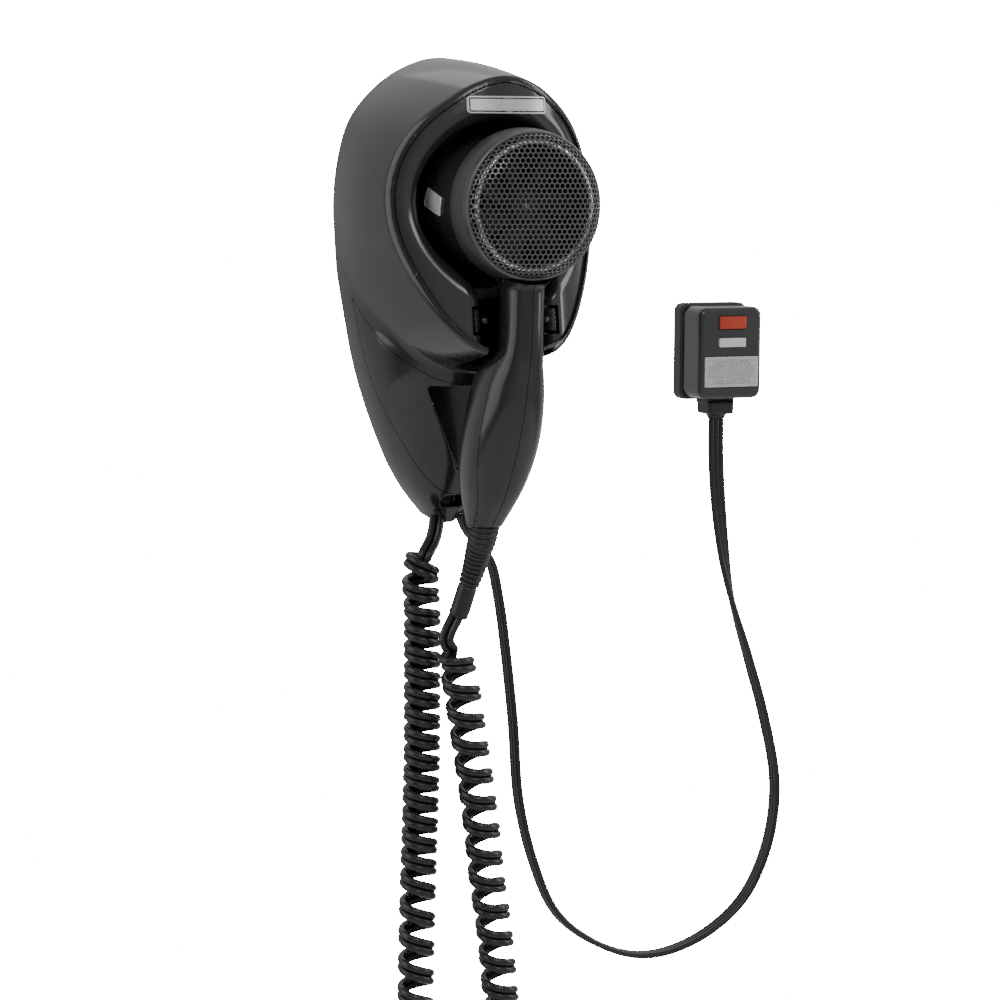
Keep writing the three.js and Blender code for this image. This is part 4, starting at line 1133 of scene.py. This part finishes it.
def honeycomb(reach):
    """Flat points and faces: a hexagon of sheet round each hole, out to a radius."""
    points, faces, known = [], [], {}

    def corner(u, v):
        return known.setdefault((round(u, 3), round(v, 3)), len(known))

    turns = [math.radians(30 * k) for k in range(12)]
    rows = int(reach / GRILLE_PITCH * 1.2) + 2
    for row in range(-rows, rows + 1):
        for column in range(-rows, rows + 1):
            u = (column + 0.5 * (row % 2)) * GRILLE_PITCH
            v = row * GRILLE_PITCH * math.sqrt(0.75)
            if math.hypot(u, v) > reach - HOLE_R:
                continue
            cell = [GRILLE_PITCH * (0.5, math.sqrt(1 / 3))[k % 2] for k in range(12)]
            hole = [corner(u + HOLE_R * math.cos(a), v + HOLE_R * math.sin(a)) for a in turns]
            web = [corner(u + r * math.cos(a), v + r * math.sin(a)) for a, r in zip(turns, cell)]
            faces += [(web[k], web[k - 11], hole[k - 11], hole[k]) for k in range(12)]
    points = np.array(list(known))
    return points, faces


def grille_mesh():
    """The honeycomb wrapped over the grille's front line, with the thickness of its sheet."""
    line, along = route(GRILLE_LINE, 0.25)
    flat, faces = honeycomb(along[-1])
    reach = np.hypot(flat[:, 0], flat[:, 1])
    way = flat / np.maximum(reach, 1e-6)[:, None]
    slope = tangents(line)
    layers = []
    for depth in (0.0, SHEET):
        radius = np.interp(reach, along, line[:, 0] + slope[:, 1] * depth)
        height = np.interp(reach, along, line[:, 1] - slope[:, 0] * depth)
        layers.append(np.column_stack([way * radius[:, None], height]))
    count = len(flat)
    sides = {(f[i], f[i - 3]) for f in faces for i in range(4)}
    walls = [(b, a, a + count, b + count) for a, b in sides if (b, a) not in sides]
    backs = [tuple(v + count for v in f[::-1]) for f in faces]
    return np.concatenate(layers), faces + backs + walls


def together(*meshes):
    """Several sets of points and faces as one."""
    points, faces, start = [], [], 0
    for vertices, polygons in meshes:
        points.append(vertices)
        faces += [tuple(v + start for v in polygon) for polygon in polygons]
        start += len(vertices)
    return np.concatenate(points), faces


def build_grille():
    drawn("rear_collar", "dryer", "collar_turned", collar_mesh(), SATIN)
    whole = together(grille_mesh(), turned(softened(RING_LINE, 0.3), 192))
    drawn("intake_grille", "dryer", "grille_perforated", whole, MESH_BLACK)
    drawn("grille_liner", "dryer", "liner_ring", turned(softened(LINER_LINE, 0.6), 160), BRIGHT)


build_grille()

# ---- strain relief ----

RELIEF_ROUTE = [
    (0, -50.9, -101.4), (0, -50.1, -105), (0, -48.4, -109.5), (0, -44.8, -115), (-0.4, -40.8, -124),
    (-2.4, -37.4, -134), (-5.2, -35.2, -145), (-5.7, -34.9, -146.4),
]
RIBS, RIB_CUT = 13, 0.85
SLEEVE_TOP_R, SLEEVE_LOW_R, CORD_HOLE_R = 7.15, 4.85, 4.0
# Where the ribs, the cuff and its rounded end begin, as shares of the sleeve's length.
RIBS_START, RIBS_SHARE, CUFF_START, CUFF_RISE, END_START = 0.02, 0.66, 0.68, 0.03, 0.975
CUFF_THICK, END_ROUND = 0.55, 0.5


def build_relief():
    """A sleeve with tapering ribs, then a plain cuff round the cord."""
    points, along = route(RELIEF_ROUTE, 0.2)
    share = along / along[-1]
    rib = np.clip((share - RIBS_START) / RIBS_SHARE, 0, 1)
    envelope = SLEEVE_TOP_R + (SLEEVE_LOW_R - SLEEVE_TOP_R) * rib
    groove = (0.5 + 0.5 * np.cos(2 * np.pi * RIBS * rib)) ** 3
    cuff = CORD_HOLE_R + CUFF_THICK * smooth_step((share - CUFF_START) / CUFF_RISE)
    radius = np.where(rib < 1, envelope - RIB_CUT * groove, cuff)
    radius = radius - END_ROUND * smooth_step((share - END_START) / (1 - END_START))
    run = tangents(points)
    side = carried(run, (1.0, 0.0, 0.0))
    around = np.linspace(0, 2 * np.pi, 41)[:-1]
    section = np.column_stack([np.cos(around), np.sin(around)])
    reach = radius[:, None] * MM
    other = np.cross(run, side)
    sleeve = swept("ribbed_sleeve", points * MM, side * reach, other * reach, section, BOOT)
    settle(sleeve, "dryer", "strain_relief")


build_relief()

# ---- plug ----

PLUG = (138.1, -71.3)
PLUG_BACK, PLUG_STEP, PLUG_FRONT = 6.0, 14.0, 30.5
TEST_BUTTON, RESET_BUTTON, LENS_MIDDLE = (138.6, -57.0), (138.6, -66.4), (138.5, -80.2)
BLADE_PITCH, BLADE_Y, BLADE_ROOM = 12.7, -64.0, 3.6
PLUG_WALL, PLUG_ROOF = 2.2, 2.4
# Plates with rounded corners: width, height and corner radius.
BACK_PLATE, COVER_PLATE = (36, 45.8, 4), (33.6, 43.4, 4.4)
TEST_HOLE, RESET_HOLE, BUTTON_WIDE = (15, 6.6, 0.7), (14.8, 5, 0.7), 14.4
LENS_HOLE, LENS_SEAT, LENS_PLATE = (22, 10, 0.8), (29.4, 15, 0.9), (28.8, 14.4, 0.7)
BUTTON_ROOT, BUTTON_RISE = 5, 0.9
PRISM_PITCH, PRISM_HALF = 1.25, 0.34


def plug_throat(x, y, z):
    return box(x, y, z, (PLUG[0] - 7.6, -97, 9.4), (PLUG[0] + 7.6, -88, 22))


def plug_back(x, y, z):
    side = plate(x, y, PLUG, *BACK_PLATE)
    outer = rounded(side, both(PLUG_BACK - z, z - PLUG_STEP), 1.3)
    across = np.abs(np.abs(x - PLUG[0]) - BLADE_PITCH / 2)
    slots = box(across, y, z, (-5, BLADE_Y - BLADE_ROOM, 0), (1.1, BLADE_Y + BLADE_ROOM, 12))
    hollow = both(side + PLUG_WALL, PLUG_BACK + PLUG_ROOF - z)
    return [outer, -hollow, -slots, -plug_throat(x, y, z)]


def plug_cover(x, y, z):
    side = plate(x, y, PLUG, *COVER_PLATE)
    outer = rounded(rounded(side, z - PLUG_FRONT, 2.2), PLUG_STEP + GAP - z, 0.6)
    seat = both(plate(x, y, LENS_MIDDLE, *LENS_SEAT), PLUG_FRONT - 1 - z)
    holes = np.minimum.reduce([
        plate(x, y, TEST_BUTTON, *TEST_HOLE), plate(x, y, RESET_BUTTON, *RESET_HOLE), seat,
        plate(x, y, LENS_MIDDLE, *LENS_HOLE),
    ])
    hollow = both(side + PLUG_WALL, z - PLUG_FRONT + PLUG_ROOF)
    return [outer, -hollow, -both(holes, 20 - z), -plug_throat(x, y, z)]


def plug_button(middle, tall):
    def shape(x, y, z):
        side = plate(x, y, middle, BUTTON_WIDE, tall, 0.6)
        return [rounded(side, both(PLUG_FRONT - BUTTON_ROOT - z, z - PLUG_FRONT - BUTTON_RISE), 0.5)]
    return shape


def plug_lens(x, y, z):
    """A clear plate moulded in small prisms, with a round pad in each corner."""
    u, v = x - LENS_MIDDLE[0], y - LENS_MIDDLE[1]
    prisms = np.cos(2 * np.pi * u / PRISM_PITCH) * np.cos(2 * np.pi * v / PRISM_PITCH)
    border = smooth_step(-plate(x, y, LENS_MIDDLE, 26.6, 12.2, 0.6) / 0.4)
    pads = smooth_step((np.hypot(np.abs(u) - 11.4, np.abs(v) - 4.2) - 1.2) / 0.4)
    top = PLUG_FRONT + 0.3 + PRISM_HALF * prisms * border * pads
    side = plate(x, y, LENS_MIDDLE, *LENS_PLATE)
    return [rounded(side, z - top, 0.3), PLUG_FRONT - 1 + GAP - z]


def plug_gland(x, y, z):
    base = box(x, y, z, (PLUG[0] - 6.9, -101.1, 9.6), (PLUG[0] + 6.9, -94.5, 22.8), 1.6)
    key = box(x, y, z, (PLUG[0] - 7.2, -96, 9.8), (PLUG[0] + 7.2, -89, 21.6), 0.6)
    share = (-99 - y) / 4.1
    side = squarish(x - PLUG[0], z - 17, 5.4 - share, 4 - 0.7 * share, 2.0)
    neck = both(side, y + 95, -103.15 - y)
    return [filled(np.minimum(base, key), neck, 1.2)]


def build_plug():
    x0, x1 = PLUG[0] - 18, PLUG[0] + 18
    carved("plug_back_shell", "root", "plug_back_rounded", plug_back,
           (x0, -94.2, 6), (x1, -48.4, 14), 0.5, SATIN)
    carved("plug_front_cover", "root", "plug_cover_rounded", plug_cover,
           (x0, -93, 14), (x1, -49.6, 30.5), 0.5, COVER_GLOSS)
    for word, middle, tall, material in (("test", TEST_BUTTON, 6.0, RED),
                                         ("reset", RESET_BUTTON, 4.4, WHITE)):
        low = (middle[0] - BUTTON_WIDE / 2, middle[1] - tall / 2, PLUG_FRONT - BUTTON_ROOT)
        high = (middle[0] + BUTTON_WIDE / 2, middle[1] + tall / 2, PLUG_FRONT + BUTTON_RISE)
        carved(f"plug_{word}_button", f"{word}_button", f"{word}_cap", plug_button(middle, tall),
               low, high, 0.3, material)
    carved("plug_lens", "root", "lens_prisms", plug_lens,
           (124, -87.5, 29.8), (153, -73, 31.4), 0.25, CLEAR)
    carved("plug_gland", "root", "plug_gland_moulded", plug_gland,
           (x0 + 8, -103.2, 9.6), (x1 - 8, -88, 23.6), 0.4, BOOT)


build_plug()

# ---- CAD pieces that keep their shape ----

SLOT_MATERIAL = {
    "gloss_black": GLOSS, "satin_black": SATIN, "inner_black": INNER, "black_rubber": BOOT,
    "silver_trim": SILVER, "steel": STEEL, "brass": BRASS, "pale_board": PALE,
    "circuit_board": BOARD, "red_button": RED, "white_button": WHITE, "clear_lens": CLEAR,
}
# Bevel widths, in millimetres.
SOFT_EDGES = {
    "wall_plate": 0.5, "lock_screw": 0.25, "plug_blade_line": 0.25, "plug_blade_neutral": 0.25,
    "handle_screw_upper": 0.2, "handle_screw_lower": 0.2,
}


def soften(piece, width):
    """Small rounded edges on a piece that keeps its CAD shape."""
    bevel = piece.modifiers.new("soft_edges", "BEVEL")
    bevel.width = width
    bevel.segments = 2
    bevel.limit_method = "ANGLE"
    bevel.angle_limit = SHARP


def finish_cad():
    for name, piece in frame["nodes"].items():
        piece.data.materials.clear()
        piece.data.materials.append(SLOT_MATERIAL[SLOTS[name]])
    frame["nodes"]["lock_screw"].data.materials[0] = BLACK_STEEL
    for name, width in SOFT_EDGES.items():
        soften(frame["nodes"][name], width * MM)


finish_cad()
